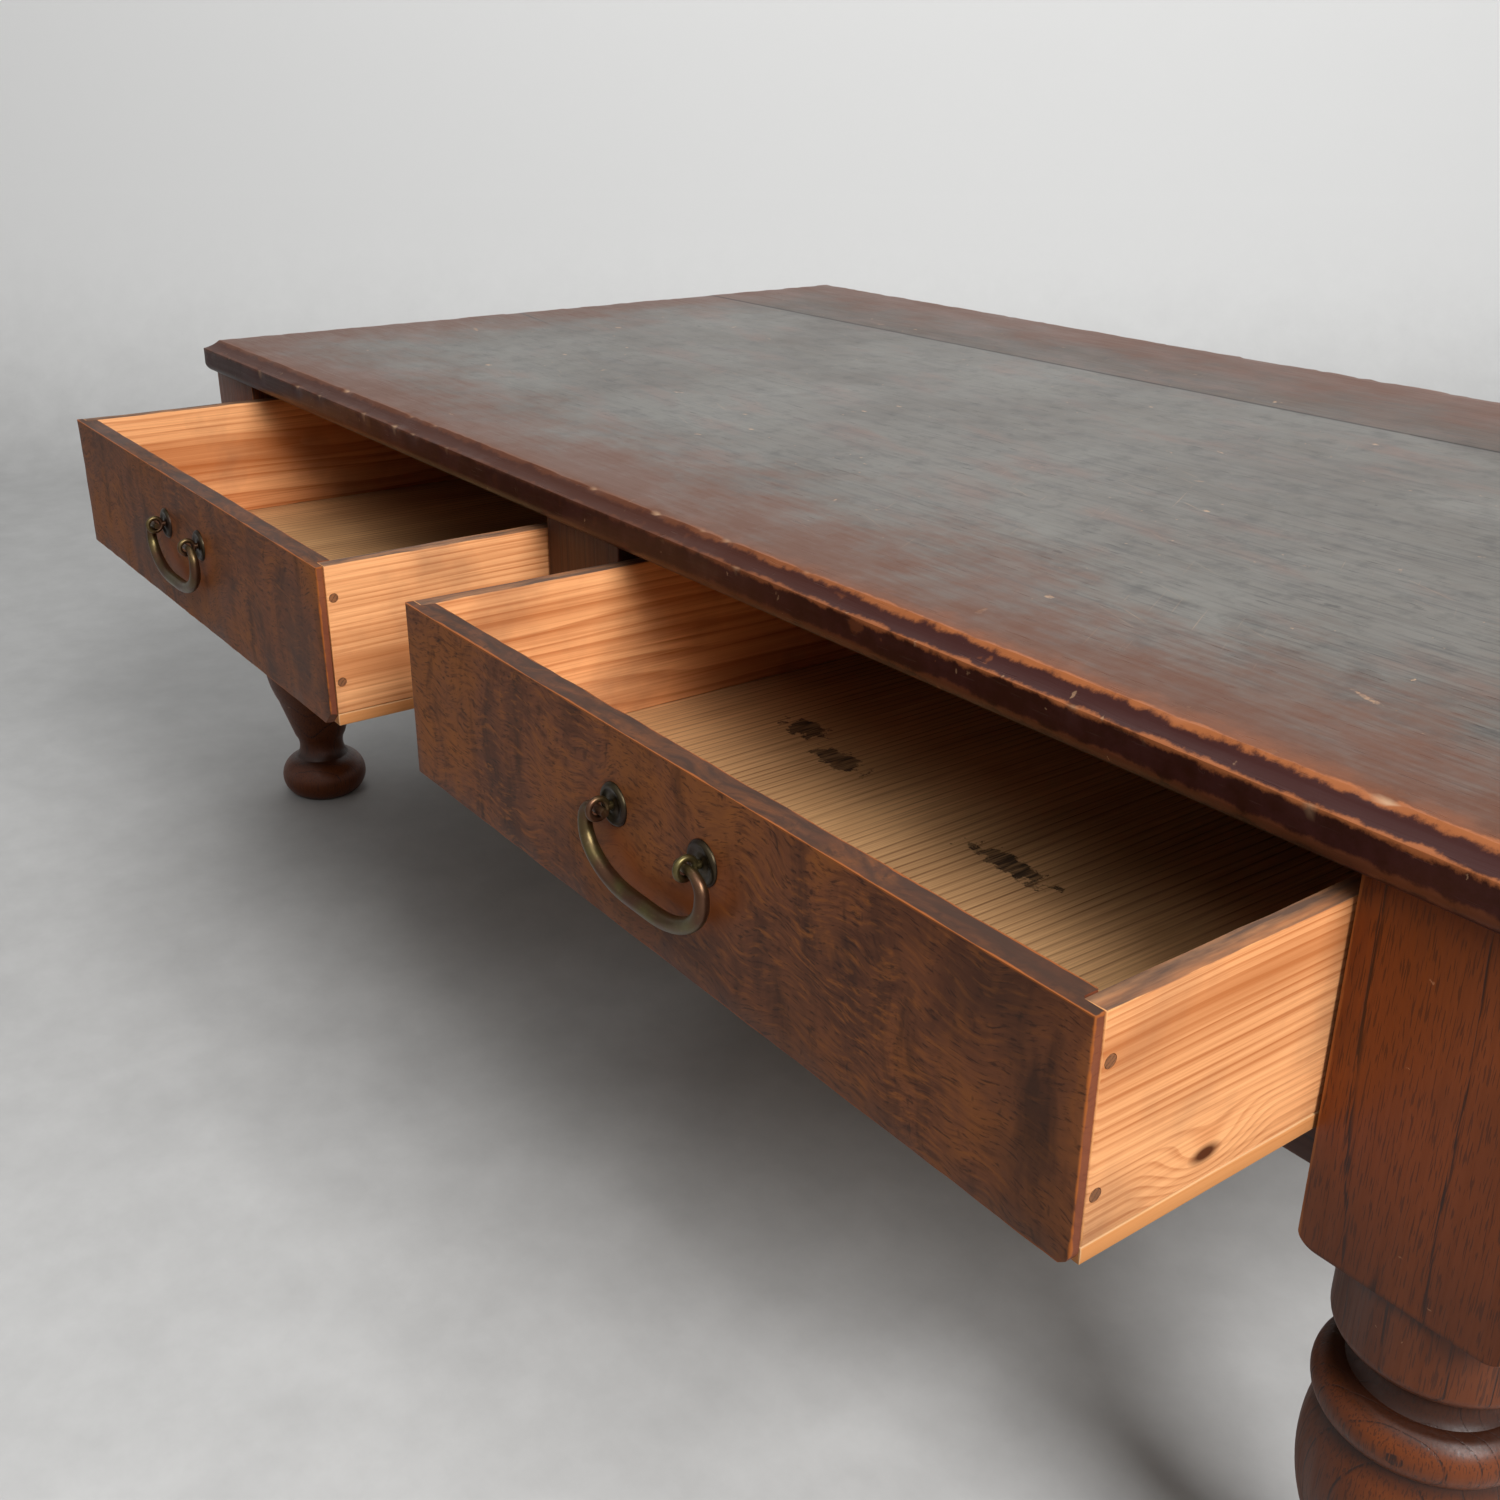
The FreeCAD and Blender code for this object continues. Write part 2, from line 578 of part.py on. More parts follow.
def build_drawer(side, sign, out):
    """Builds one drawer, pulled out by a cell of the sheet, with its pegs and its handle."""
    name = f"drawer_{side}"
    face = f"(shut_front - {out})"
    left = "stile_side + drawer_play" if sign > 0 else "-(stile_side + drawer_play + drawer_width)"
    right = f"{left} + drawer_width"
    lip = f"{face} + front_lip"
    inside = f"{face} + front_thick"
    rear = f"{face} + drawer_depth"
    floor = "drawer_bottom + bottom_thick"
    height = (floor, "drawer_bottom + drawer_height")
    pegs = []
    holes = []
    peg_rows = (("front", f"{face} + (front_lip + front_thick) / 2"), ("back", f"{rear} - side_thick / 2"))
    for end, y in peg_rows:
        for level in ("low", "high"):
            for hand, x in (("left", left), ("right", f"{right} - peg_long")):
                peg = f"{name}_{end}_{level}_{hand}"
                z = f"drawer_bottom + peg_{level}"
                pegs.append(rod(f"{peg}_peg", "x", "peg_radius", "peg_long", (x, y, z)))
                start = (f"{x} - joint_play", y, z)
                wide = "peg_radius + joint_play"
                deep = "peg_long + 2 * joint_play"
                holes.append(rod(f"{peg}_hole", "x", wide, deep, start))
    piece(together(f"{name}_peg_set", pegs), f"{name}_pegs")
    middle = f"({left} + drawer_width / 2)"
    axis_z = "drawer_bottom + eye_height"
    eyes = []
    bores = []
    rosettes = []
    for hand, x in (("left", f"{middle} - eye_spacing / 2"), ("right", f"{middle} + eye_spacing / 2")):
        seat = f"{face} - rosette_thick"
        shank_start = f"{face} - eye_reach + eye_ring"
        shank_long = "eye_reach - eye_ring + front_thick + eye_wire"
        ring = doc.addObject("Part::Torus", f"{name}_{hand}_ring")
        ring.Placement = FreeCAD.Placement(Vector(), TURNS["x"])
        bind(ring, Radius1="eye_ring", Radius2="eye_wire", x=x, y=f"{face} - eye_reach", z=axis_z)
        shank = rod(f"{name}_{hand}_shank", "y", "shank_radius", shank_long, (x, shank_start, axis_z))
        clench_z = f"{axis_z} - clench_long"
        clench_place = (x, f"{inside} + eye_wire", clench_z)
        clench = rod(f"{name}_{hand}_clench", "z", "eye_wire", "2 * clench_long", clench_place)
        eyes.append(fuse(f"{name}_{hand}_eye", [ring, shank, clench]))
        bore_start = (x, f"{seat} - joint_play", axis_z)
        bore_long = "rosette_thick + front_thick + 2 * joint_play"
        bore = rod(f"{name}_{hand}_bore", "y", "shank_radius + joint_play", bore_long, bore_start)
        bores.append(bore)
        plate = doc.addObject("Part::Cone", f"{name}_{hand}_plate")
        plate.Placement = FreeCAD.Placement(Vector(), TURNS["y"])
        bind(plate, Radius1="rosette_crown", Radius2="rosette_radius", Height="rosette_thick")
        bind(plate, x=x, y=seat, z=axis_z)
        rosettes.append(cut(f"{name}_{hand}_rosette", plate, [bore]))
    piece(together(f"{name}_eye_pair", eyes), f"{name}_eyes")
    piece(together(f"{name}_rosette_pair", rosettes), f"{name}_rosettes")
    walls = (("left", (left, f"{left} + side_thick")), ("right", (f"{right} - side_thick", right)))
    front_height = ("drawer_bottom", height[1])
    whole = box(f"{name}_front_wood", (left, right), (face, inside), front_height)
    rebates = [box(f"{name}_bottom_rebate", (left, right), (lip, inside), ("drawer_bottom", floor))]
    for hand, x in walls:
        rebates.append(box(f"{name}_{hand}_rebate", x, (lip, inside), front_height))
    piece(cut(f"{name}_front_board", whole, rebates + holes[:4] + bores), f"{name}_front")
    for hand, x in walls:
        board = box(f"{name}_{hand}_board", x, (lip, rear), height)
        piece(cut(f"{name}_{hand}_wall", board, holes), f"{name}_{hand}_side")
    x = (f"{left} + side_thick", f"{right} - side_thick")
    board = box(f"{name}_back_wood", x, (f"{rear} - side_thick", rear), height)
    piece(cut(f"{name}_back_wall", board, holes[4:]), f"{name}_back")
    piece(box(f"{name}_base", (left, right), (lip, rear), ("drawer_bottom", floor)), f"{name}_bottom")
    bail = doc.addObject("Part::Feature", f"{name}_bail_rod")
    bail.Shape = bail_rod(size(middle), size(f"{face} - eye_reach"), size(axis_z))
    piece(bail, f"bail_{side}")


def check():
    """Stops if any object failed or any piece is empty or broken."""
    for thing in doc.Objects:
        if "Invalid" in thing.State or "Error" in thing.State:
            raise RuntimeError(f"{thing.Name} failed: {thing.State}")
    for thing in pieces:
        if thing.Shape.isNull() or not thing.Shape.isValid() or thing.Shape.Volume <= 0:
            raise RuntimeError(f"{thing.Label} has no sound shape")


build_top()
build_frame()
build_carriage()
build_drawer("left", -1, "left_out")
build_drawer("right", 1, "right_out")
doc.recompute()
check()
os.makedirs("parts", exist_ok=True)
for thing in pieces:
    thing.Shape.exportStep(f"parts/{thing.Label}.step")
    print(f"{thing.Label}: {len(thing.Shape.Solids)} solids, {thing.Shape.Volume / 1000:.1f} cm3")
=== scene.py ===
"""Low writing desk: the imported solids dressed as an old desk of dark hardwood, with worn arrises.

The timber is copied from the solids, its arrises are rubbed and nicked, and each piece gets the grain,
dirt and polish of its own wood. The bails and their rosettes are modelled here.
"""

import json
import logging
import math
from dataclasses import dataclass, replace
from enum import Enum
from functools import cache

import bmesh
import bpy
from bpy.types import Material, NodeSocket, Object, World
from mathutils import Matrix, Vector, noise

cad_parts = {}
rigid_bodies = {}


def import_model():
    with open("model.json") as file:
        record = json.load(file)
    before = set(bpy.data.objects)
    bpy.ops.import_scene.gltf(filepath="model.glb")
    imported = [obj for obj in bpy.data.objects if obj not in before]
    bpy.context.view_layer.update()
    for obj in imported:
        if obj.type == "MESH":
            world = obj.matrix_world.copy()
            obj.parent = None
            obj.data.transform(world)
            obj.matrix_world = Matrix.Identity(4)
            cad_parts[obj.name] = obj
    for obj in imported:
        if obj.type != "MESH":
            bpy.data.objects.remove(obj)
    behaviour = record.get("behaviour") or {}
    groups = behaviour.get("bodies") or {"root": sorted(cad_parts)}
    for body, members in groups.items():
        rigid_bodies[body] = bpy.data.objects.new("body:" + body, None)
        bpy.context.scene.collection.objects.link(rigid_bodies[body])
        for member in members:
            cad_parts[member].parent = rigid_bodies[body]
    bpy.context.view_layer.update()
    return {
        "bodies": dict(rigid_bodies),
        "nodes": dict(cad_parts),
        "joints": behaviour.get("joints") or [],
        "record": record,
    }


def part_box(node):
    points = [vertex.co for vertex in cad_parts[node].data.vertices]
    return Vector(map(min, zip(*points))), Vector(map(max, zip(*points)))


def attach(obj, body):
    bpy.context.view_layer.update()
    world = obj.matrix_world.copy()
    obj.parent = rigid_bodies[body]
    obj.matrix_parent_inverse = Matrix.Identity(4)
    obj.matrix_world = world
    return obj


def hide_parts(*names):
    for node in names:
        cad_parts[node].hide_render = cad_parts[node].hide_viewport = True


log = logging.getLogger("desk")

MM = 0.001
IMAGE_SIDE = 1500
QUARTER = math.pi / 2
HALVES = (0.5, 0.5, 0.5)
BARE = "bare"
SAME_POINT = 0.001 * MM
WELD = 0.01 * MM
FLAT = math.radians(0.4)
BOARD_CREASE = math.radians(32)
ROSETTE_CREASE = math.radians(40)
ROD_CREASE = math.radians(50)
# A solid's corners come in single precision, so they are rounded to a thousandth of a millimetre.
PLACES = 6
# The hollow chamfer round the top: across and down
CHAMFER_MM = (9.0, 6.0)
# A bail's axis: half its width, and its drop under the eyes
BAIL_MM = (37.5, 26.5)
Input = NodeSocket | float | str | tuple


class Grain(Enum):
    """Which way the fibres of a board run, as the turn that lays them along X."""

    ALONG = (0.0, 0.0, 0.0)
    ACROSS = (0.0, 0.0, -QUARTER)
    UPRIGHT = (0.0, QUARTER, 0.0)


@dataclass(frozen=True)
class WholeTop:
    """Where the two boards of the top lie together.

    Attributes:
        low: Lowest corner, in metres.
        high: Highest corner.
        seam: The joint between the boards, in depth.
    """

    low: tuple[float, float, float]
    high: tuple[float, float, float]
    seam: float


@cache
def whole_top() -> WholeTop:
    """Finds the top in the frame.

    Returns:
        Its corners and its joint.
    """
    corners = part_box("top_front_board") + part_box("top_back_board")
    low, joint, _, high = (tuple(round(value, PLACES) for value in corner) for corner in corners)
    return WholeTop(low, high, joint[1])


def linear(tone: str) -> tuple[float, float, float, float]:
    """Turns an sRGB hex tone into linear light.

    Args:
        tone: Six hex digits after a hash sign.

    Returns:
        Red, green, blue and an alpha of one.
    """
    parts = [int(tone[i : i + 2], 16) / 255 for i in (1, 3, 5)]
    red, green, blue = [p / 12.92 if p <= 0.04045 else ((p + 0.055) / 1.055) ** 2.4 for p in parts]
    return (red, green, blue, 1.0)


class Nodes:
    """The nodes of a material or of the world."""

    def __init__(self, owner: Material | World) -> None:
        """Starts with no nodes.

        Args:
            owner: What the nodes belong to.
        """
        owner.use_nodes = True
        self.tree = owner.node_tree
        self.tree.nodes.clear()

    def add(
        self,
        kind: str,
        *inputs: Input | dict[str, Input],
        output: int | str = 0,
        stops: tuple = (),
        **settings: str | bool,
    ) -> NodeSocket | None:
        """Adds one node with its settings and links.

        Args:
            kind: The node's type, without the prefix that all of them share.
            inputs: Values, tones or sockets in the order of the inputs, or one dict of them by name.
            output: The output to hand back.
            stops: Places and tones of a colour ramp.
            settings: Properties of the node.

        Returns:
            The chosen output, or none where the node has no output.
        """
        made = self.tree.nodes.new(f"ShaderNode{kind}")
        for name, value in settings.items():
            setattr(made, name, value)
        named = inputs[0] if inputs and isinstance(inputs[0], dict) else dict(enumerate(inputs))
        for key, value in named.items():
            if isinstance(value, NodeSocket):
                self.tree.links.new(value, made.inputs[key])
            else:
                made.inputs[key].default_value = linear(value) if isinstance(value, str) else value
        if stops:
            elements = made.color_ramp.elements
            while len(elements) < len(stops):
                elements.new(1.0)
            for element, (spot, tone) in zip(elements, stops):
                element.position = spot
                element.color = linear(tone) if isinstance(tone, str) else (tone, tone, tone, 1.0)
        return made.outputs[output] if made.outputs else None


class Surface(Nodes):
    """One material under construction: its nodes, and the piece's own place in millimetres."""

    def __init__(self, name: str) -> None:
        """Starts a material that knows where each point of its piece is, and which way it faces.

        Args:
            name: The material's name.
        """
        self.material = bpy.data.materials.new(name)
        super().__init__(self.material)
        here = self.add("TexCoord", output="Object")
        self.place = self.add("VectorMath", here, (1 / MM, 1 / MM, 1 / MM), operation="MULTIPLY")
        self.x, self.y, self.z = (self.add("SeparateXYZ", self.place, output=axis) for axis in "XYZ")
        self.facing = self.add("TexCoord", output="Normal")

    def finish(
        self, colour: NodeSocket, rough: NodeSocket, height: NodeSocket, relief_mm: float, **plain: Input
    ) -> Material:
        """Joins the shader to what was made for it.

        Args:
            colour: The base colour.
            rough: The roughness.
            height: The relief, where 1 is as high as the relief is deep.
            relief_mm: Depth of that relief.
            plain: Other inputs of the shader, by name with underscores.

        Returns:
            The finished material.
        """
        normal = self.add("Bump", {"Height": height, "Distance": relief_mm * MM, "Strength": 1.0})
        links = {"Base Color": colour, "Roughness": rough, "Normal": normal}
        links.update({name.replace("_", " "): value for name, value in plain.items()})
        self.add("OutputMaterial", self.add("BsdfPrincipled", links))
        return self.material


@dataclass
class Look:
    """A wood's look while it is worked: what each layer reads and changes.

    Attributes:
        s: The surface.
        place: The piece's place with the fibres along X, in millimetres.
        low: Lowest corner of the piece, in millimetres.
        high: Highest corner of the piece.
        colour: Its colour so far.
        rough: Its roughness so far.
        height: Its relief so far.
        gloss: How strongly it mirrors.
    """

    s: Surface
    place: NodeSocket
    low: Vector
    high: Vector
    colour: NodeSocket | None = None
    rough: NodeSocket | None = None
    height: NodeSocket | None = None
    gloss: NodeSocket | float = 0.5

    def streaks(
        self, long_mm: float, wide_mm: float, detail: float = 2.0, turn: float = 0.0, tall_mm: float = 0.0
    ) -> NodeSocket:
        """Makes noise drawn out along the fibres.

        Args:
            long_mm: Length of a streak.
            wide_mm: Width of a streak.
            detail: Finer octaves in it.
            turn: Turn of the streaks from the fibres, in radians, about the upright.
            tall_mm: Height of a streak, where it isn't its width.

        Returns:
            The noise, from 0 to 1.
        """
        place = self.place
        if turn:
            place = self.s.add("VectorRotate", {"Vector": place, "Angle": turn}, rotation_type="Z_AXIS")
        scale = (1 / long_mm, 1 / wide_mm, 1 / (tall_mm or wide_mm))
        drawn = self.s.add("VectorMath", place, scale, operation="MULTIPLY")
        return self.s.add("TexNoise", {"Vector": drawn, "Scale": 1.0, "Detail": detail, "Roughness": 0.55})

    def spots(self, cell_mm: float, large_mm: float, long: float = 1.0, turn: float = 0.0) -> NodeSocket:
        """Scatters ragged dents of unlike sizes.

        Args:
            cell_mm: Mean distance between them.
            large_mm: Radius of the largest.
            long: How much longer along the fibres than across.
            turn: Turn of the dents from the fibres, in radians, about the upright.

        Returns:
            A share that is 1 in a dent.
        """
        s = self.s
        place = s.add("VectorRotate", {"Vector": self.place, "Angle": turn}, rotation_type="Z_AXIS")
        scale = (1 / cell_mm / long, 1 / cell_mm, 1 / cell_mm)
        cells = s.add("VectorMath", place, scale, operation="MULTIPLY")
        rim = s.add("TexNoise", {"Vector": place, "Scale": 0.8 / large_mm, "Detail": 3.0}, output="Color")
        rim = s.add("VectorMath", rim, HALVES, operation="SUBTRACT")
        jag = 2.2 * large_mm / cell_mm
        cells = s.add("VectorMath", rim, (jag / long, jag, jag), cells, operation="MULTIPLY_ADD")
        away = s.add("TexVoronoi", {"Vector": cells, "Scale": 1.0})
        chance = s.add("SeparateColor", away.node.outputs["Color"])
        size = s.add("Math", chance, 3.0, operation="POWER")
        reach = s.add("Math", size, large_mm / cell_mm, operation="MULTIPLY")
        inner = s.add("Math", reach, 0.55, operation="MULTIPLY")
        return s.add("MapRange", away, reach, inner, interpolation_type="SMOOTHSTEP")

    def coat(
        self,
        tone: str | NodeSocket,
        pattern: NodeSocket,
        start: float = 0.0,
        full: float = 1.0,
        most: float = 1.0,
        least: float = 0.0,
        soft: bool = False,
    ) -> None:
        """Lays a tone over the colour so far, as strongly as a pattern says.

        Args:
            tone: The tone.
            pattern: What the tone follows.
            start: Level of the pattern at which the tone starts.
            full: Level at which it is full.
            most: Its share of the colour where it is full.
            least: Its share where it hasn't started.
            soft: Whether it eases in and out.
        """
        ease = "SMOOTHSTEP" if soft else "LINEAR"
        share = self.s.add("MapRange", pattern, start, full, least, most, interpolation_type=ease)
        self.colour = self.s.add("MixRGB", share, self.colour, tone)

    def edge(self) -> NodeSocket:
        """Measures how far a place is from the nearest arris of the piece's box.

        Returns:
            The distance in millimetres.
        """
        s = self.s
        below = s.add("VectorMath", s.place, tuple(self.low), operation="SUBTRACT")
        above = s.add("VectorMath", tuple(self.high), s.place, operation="SUBTRACT")
        inner = s.add("VectorMath", below, above, operation="MINIMUM")
        x, y, z = (s.add("SeparateXYZ", inner, output=axis) for axis in "XYZ")
        least = s.add("Math", x, y, operation="MINIMUM")
        most = s.add("Math", x, y, operation="MAXIMUM")
        other = s.add("Math", most, z, operation="MINIMUM")
        return s.add("Math", least, other, operation="MAXIMUM")


@dataclass(frozen=True)
class Timber:
    """A planed wood under old oil and wax: growth rings, fibres, pores and rubbed arrises.

    Attributes:
        name: Common name of the wood and its finish.
        early: Tone of the soft early wood of a ring.
        late: Tone of the hard late wood.
        pore: Tone of open pores filled with dirt.
        worn: Tone of bare wood at a rubbed arris.
        grime: Tone of hand dirt and dust on an upper edge.
        ring_mm: Width of a growth ring.
        wander_mm: How far the rings stray from straight.
        fibre_mm: Width of the fibres.
        late_share: How strongly late wood shows.
        pore_share: How strongly the pores show.
        shine: Roughness of the smoothest and of the dullest places.
        wear_mm: Width of the rubbed band at an arris.
        pith_mm: The trunk's middle, across the fibres, from the desk's origin.
        relief_mm: Depth of the grain's relief.
        unlike: How unlike the rings' widths are.
        late_width: Part of a ring that is late wood.
        band_share: How strongly broad bands of late wood show.
        specular: How strongly the finish mirrors.
        cloud_mm: Width of a cloud of dirt.
        pore_level: How rare the short pores are, from 0 to 1.
    """

    name: str
    early: str
    late: str
    pore: str
    worn: str
    grime: str
    ring_mm: float
    wander_mm: float
    fibre_mm: float
    late_share: float
    pore_share: float
    shine: tuple[float, float]
    wear_mm: float
    pith_mm: tuple[float, float]
    relief_mm: float = 0.05
    unlike: float = 2.4
    late_width: float = 0.5
    band_share: float = 0.5
    specular: float = 0.3
    cloud_mm: float = 55.56
    pore_level: float = 0.64

    def stray(self, look: Look) -> NodeSocket:
        """Bends the rings: long waves, and rings of unlike width.

        Args:
            look: The look so far.

        Returns:
            How far a ring strays, in millimetres.
        """
        s = look.s
        waves = s.add("Math", look.streaks(420.0, 75.0), 2.0 * self.wander_mm, operation="MULTIPLY")
        uneven = look.streaks(900.0, 4.5 * self.ring_mm, 1.0)
        return s.add("Math", uneven, self.unlike * self.ring_mm, waves, operation="MULTIPLY_ADD")

    def rings(self, look: Look) -> NodeSocket:
        """Draws growth rings about the pith.

        Args:
            look: The look so far.

        Returns:
            A share from 0, early wood, to 1, late wood.
        """
        s = look.s
        flat = s.add("VectorMath", look.place, (0.0, 1.0, 1.0), operation="MULTIPLY")
        radius = s.add("VectorMath", flat, output="Value", operation="LENGTH")
        radius = s.add("Math", radius, self.stray(look), operation="ADD")
        turns = s.add("Math", radius, self.ring_mm, operation="DIVIDE")
        phase = s.add("Math", turns, operation="FRACT")
        start = 1.0 - self.late_width
        peak = 1.0 - 0.25 * self.late_width
        stops = ((0.0, 0.1), (0.05, 0.0), (start, 0.12), (peak, 1.0), (0.98, 0.7), (1.0, 0.1))
        return s.add("ValToRGB", phase, stops=stops)

    def grow(self, look: Look) -> None:
        """Lays rings, fibres, broad tones and pores.

        Args:
            look: The look so far.
        """
        s = look.s
        rings = self.rings(look)
        fibre = look.streaks(70.0, self.fibre_mm, 4.0)
        broad = look.streaks(300.0, 70.0, 3.0)
        bands = look.streaks(600.0, 5.0 * self.ring_mm, 3.0)
        vary = s.add("MapRange", broad, 0.3, 0.7, 0.35, 1.15)
        late = s.add("Math", rings, vary, operation="MULTIPLY")
        late = s.add("Math", late, self.late_share, operation="MULTIPLY")
        thread = s.add("MapRange", fibre, 0.4, 0.72, 0.0, 0.4)
        late = s.add("Math", late, thread, operation="ADD", use_clamp=True)
        look.colour = s.add("MixRGB", late, self.early, self.late)
        look.coat(self.late, bands, 0.45, 0.72, self.band_share)
        look.coat(self.late, broad, 0.45, 0.75, 0.4)
        # Real pores are about 0.2 mm wide. They are drawn three or four times as wide, so that they show.
        dash = s.add("MapRange", look.streaks(14.0, 0.8, 1.0), 0.42, 0.52)
        window = s.add("MapRange", rings, 0.45, 0.85)
        pores = s.add("Math", dash, window, operation="MULTIPLY")
        pores = s.add("Math", pores, self.pore_share, operation="MULTIPLY")
        look.coat(self.pore, pores)
        short = look.streaks(9.0, 0.6, 1.0)
        look.coat(self.pore, short, self.pore_level, self.pore_level + 0.06, 0.6 * self.pore_share)
        look.rough = s.add("MapRange", fibre, 0.3, 0.7, *self.shine)
        grain = s.add("Math", rings, -0.5, fibre, operation="MULTIPLY_ADD")
        look.height = s.add("Math", grain, pores, operation="SUBTRACT")

    def rubbed(self, look: Look, distance: NodeSocket, most: float) -> NodeSocket:
        """Finds the ragged band along an arris that is rubbed bare.

        Args:
            look: The look so far.
            distance: How far a place is from the arris, in millimetres.
            most: Share of bare wood at the arris.

        Returns:
            The share of bare wood.
        """
        s = look.s
        ragged = s.add("Math", look.streaks(24.0, 7.0, 4.0), 2.4 * self.wear_mm, operation="MULTIPLY")
        uneven = s.add("Math", distance, ragged, operation="SUBTRACT")
        inside = -0.7 * self.wear_mm
        return s.add("MapRange", uneven, 0.0, inside, 0.0, most, interpolation_type="SMOOTHSTEP")

    def wear(self, look: Look) -> None:
        """Rubs the arrises bare in places.

        Args:
            look: The look so far.
        """
        look.coat(self.worn, self.rubbed(look, look.edge(), 0.85))

    def soil(self, look: Look) -> None:
        """Darkens the wood with old dirt in broad clouds.

        Args:
            look: The look so far.
        """
        clouds = {"Vector": look.s.place, "Scale": 1 / self.cloud_mm, "Detail": 5.0}
        look.coat(self.grime, look.s.add("TexNoise", clouds), 0.5, 0.75, 0.45)

    def material(self, name: str, grain: Grain, low: Vector, high: Vector) -> Material:
        """Makes the wood for one piece.

        Args:
            name: The piece's name.
            grain: Way of the fibres.
            low: Lowest corner of the piece, in metres.
            high: Highest corner of the piece.

        Returns:
            The material.
        """
        s = Surface(f"{self.name}_{name}")
        off = (0.0, self.pith_mm[0], self.pith_mm[1])
        place = s.add("Mapping", {"Vector": s.place, "Rotation": grain.value, "Location": off})
        look = Look(s, place, low / MM, high / MM, gloss=self.specular)
        self.grow(look)
        self.soil(look)
        self.wear(look)
        return s.finish(look.colour, look.rough, look.height, self.relief_mm, Specular_IOR_Level=look.gloss)


@dataclass(frozen=True)
class DrawerTimber(Timber):
    """Wood of a drawer, whose upper edges are grey with hand dirt.

    Attributes:
        knot_mm: Place of a knot from the lower front corner, as depth and height, or none.
        knot_radius_mm: Its radius.
        swell_mm: Reach of the rings' swell round it, and how far they swell.
        dust_mm: How far under the drawer's top edge the hand dirt starts, and where it is full.
    """

    knot_mm: tuple[float, float] | None = None
    knot_radius_mm: float = 2.6
    swell_mm: tuple[float, float] = (17.0, 13.0)
    dust_mm: tuple[float, float] = (6.0, 1.0)

    def from_knot(self, look: Look) -> NodeSocket:
        """Measures the way from the knot, which is longer along the fibres.

        Args:
            look: The look so far.

        Returns:
            The distance in millimetres.
        """
        s = look.s
        deep, up = self.knot_mm
        here = s.add("CombineXYZ", 0.0, s.y, s.z)
        knot = (0.0, look.low.y + deep, look.low.z + up)
        off = s.add("VectorMath", here, knot, operation="SUBTRACT")
        flat = s.add("VectorMath", off, (0.0, 0.5, 1.0), operation="MULTIPLY")
        return s.add("VectorMath", flat, output="Value", operation="LENGTH")

    def stray(self, look: Look) -> NodeSocket:
        """Bends the rings round the knot as well.

        Args:
            look: The look so far.

        Returns:
            How far a ring strays, in millimetres.
        """
        stray = super().stray(look)
        if self.knot_mm is None:
            return stray
        s = look.s
        reach, far = self.swell_mm
        swell = s.add("MapRange", self.from_knot(look), reach, 0.0, 0.0, far, interpolation_type="SMOOTHSTEP")
        return s.add("Math", stray, swell, operation="ADD")

    def soil(self, look: Look) -> None:
        """Greys the faces that look up, near the drawer's top, and darkens the knot.

        Args:
            look: The look so far.
        """
        super().soil(look)
        s = look.s
        if self.knot_mm is not None:
            look.coat(self.pore, self.from_knot(look), 1.5 * self.knot_radius_mm, 0.6 * self.knot_radius_mm)
        up = s.add("SeparateXYZ", s.facing, output="Z")
        flat = s.add("MapRange", up, 0.35, 0.85, interpolation_type="SMOOTHSTEP")
        near = s.add("MapRange", s.z, *(look.high.z - under for under in self.dust_mm))
        patch = s.add("MapRange", look.streaks(26.0, 4.0, 4.0), 0.3, 0.62, 0.5, 1.0)
        dusty = s.add("Math", s.add("Math", flat, near, operation="MULTIPLY"), patch, operation="MULTIPLY")
        look.coat(self.grime, dusty)


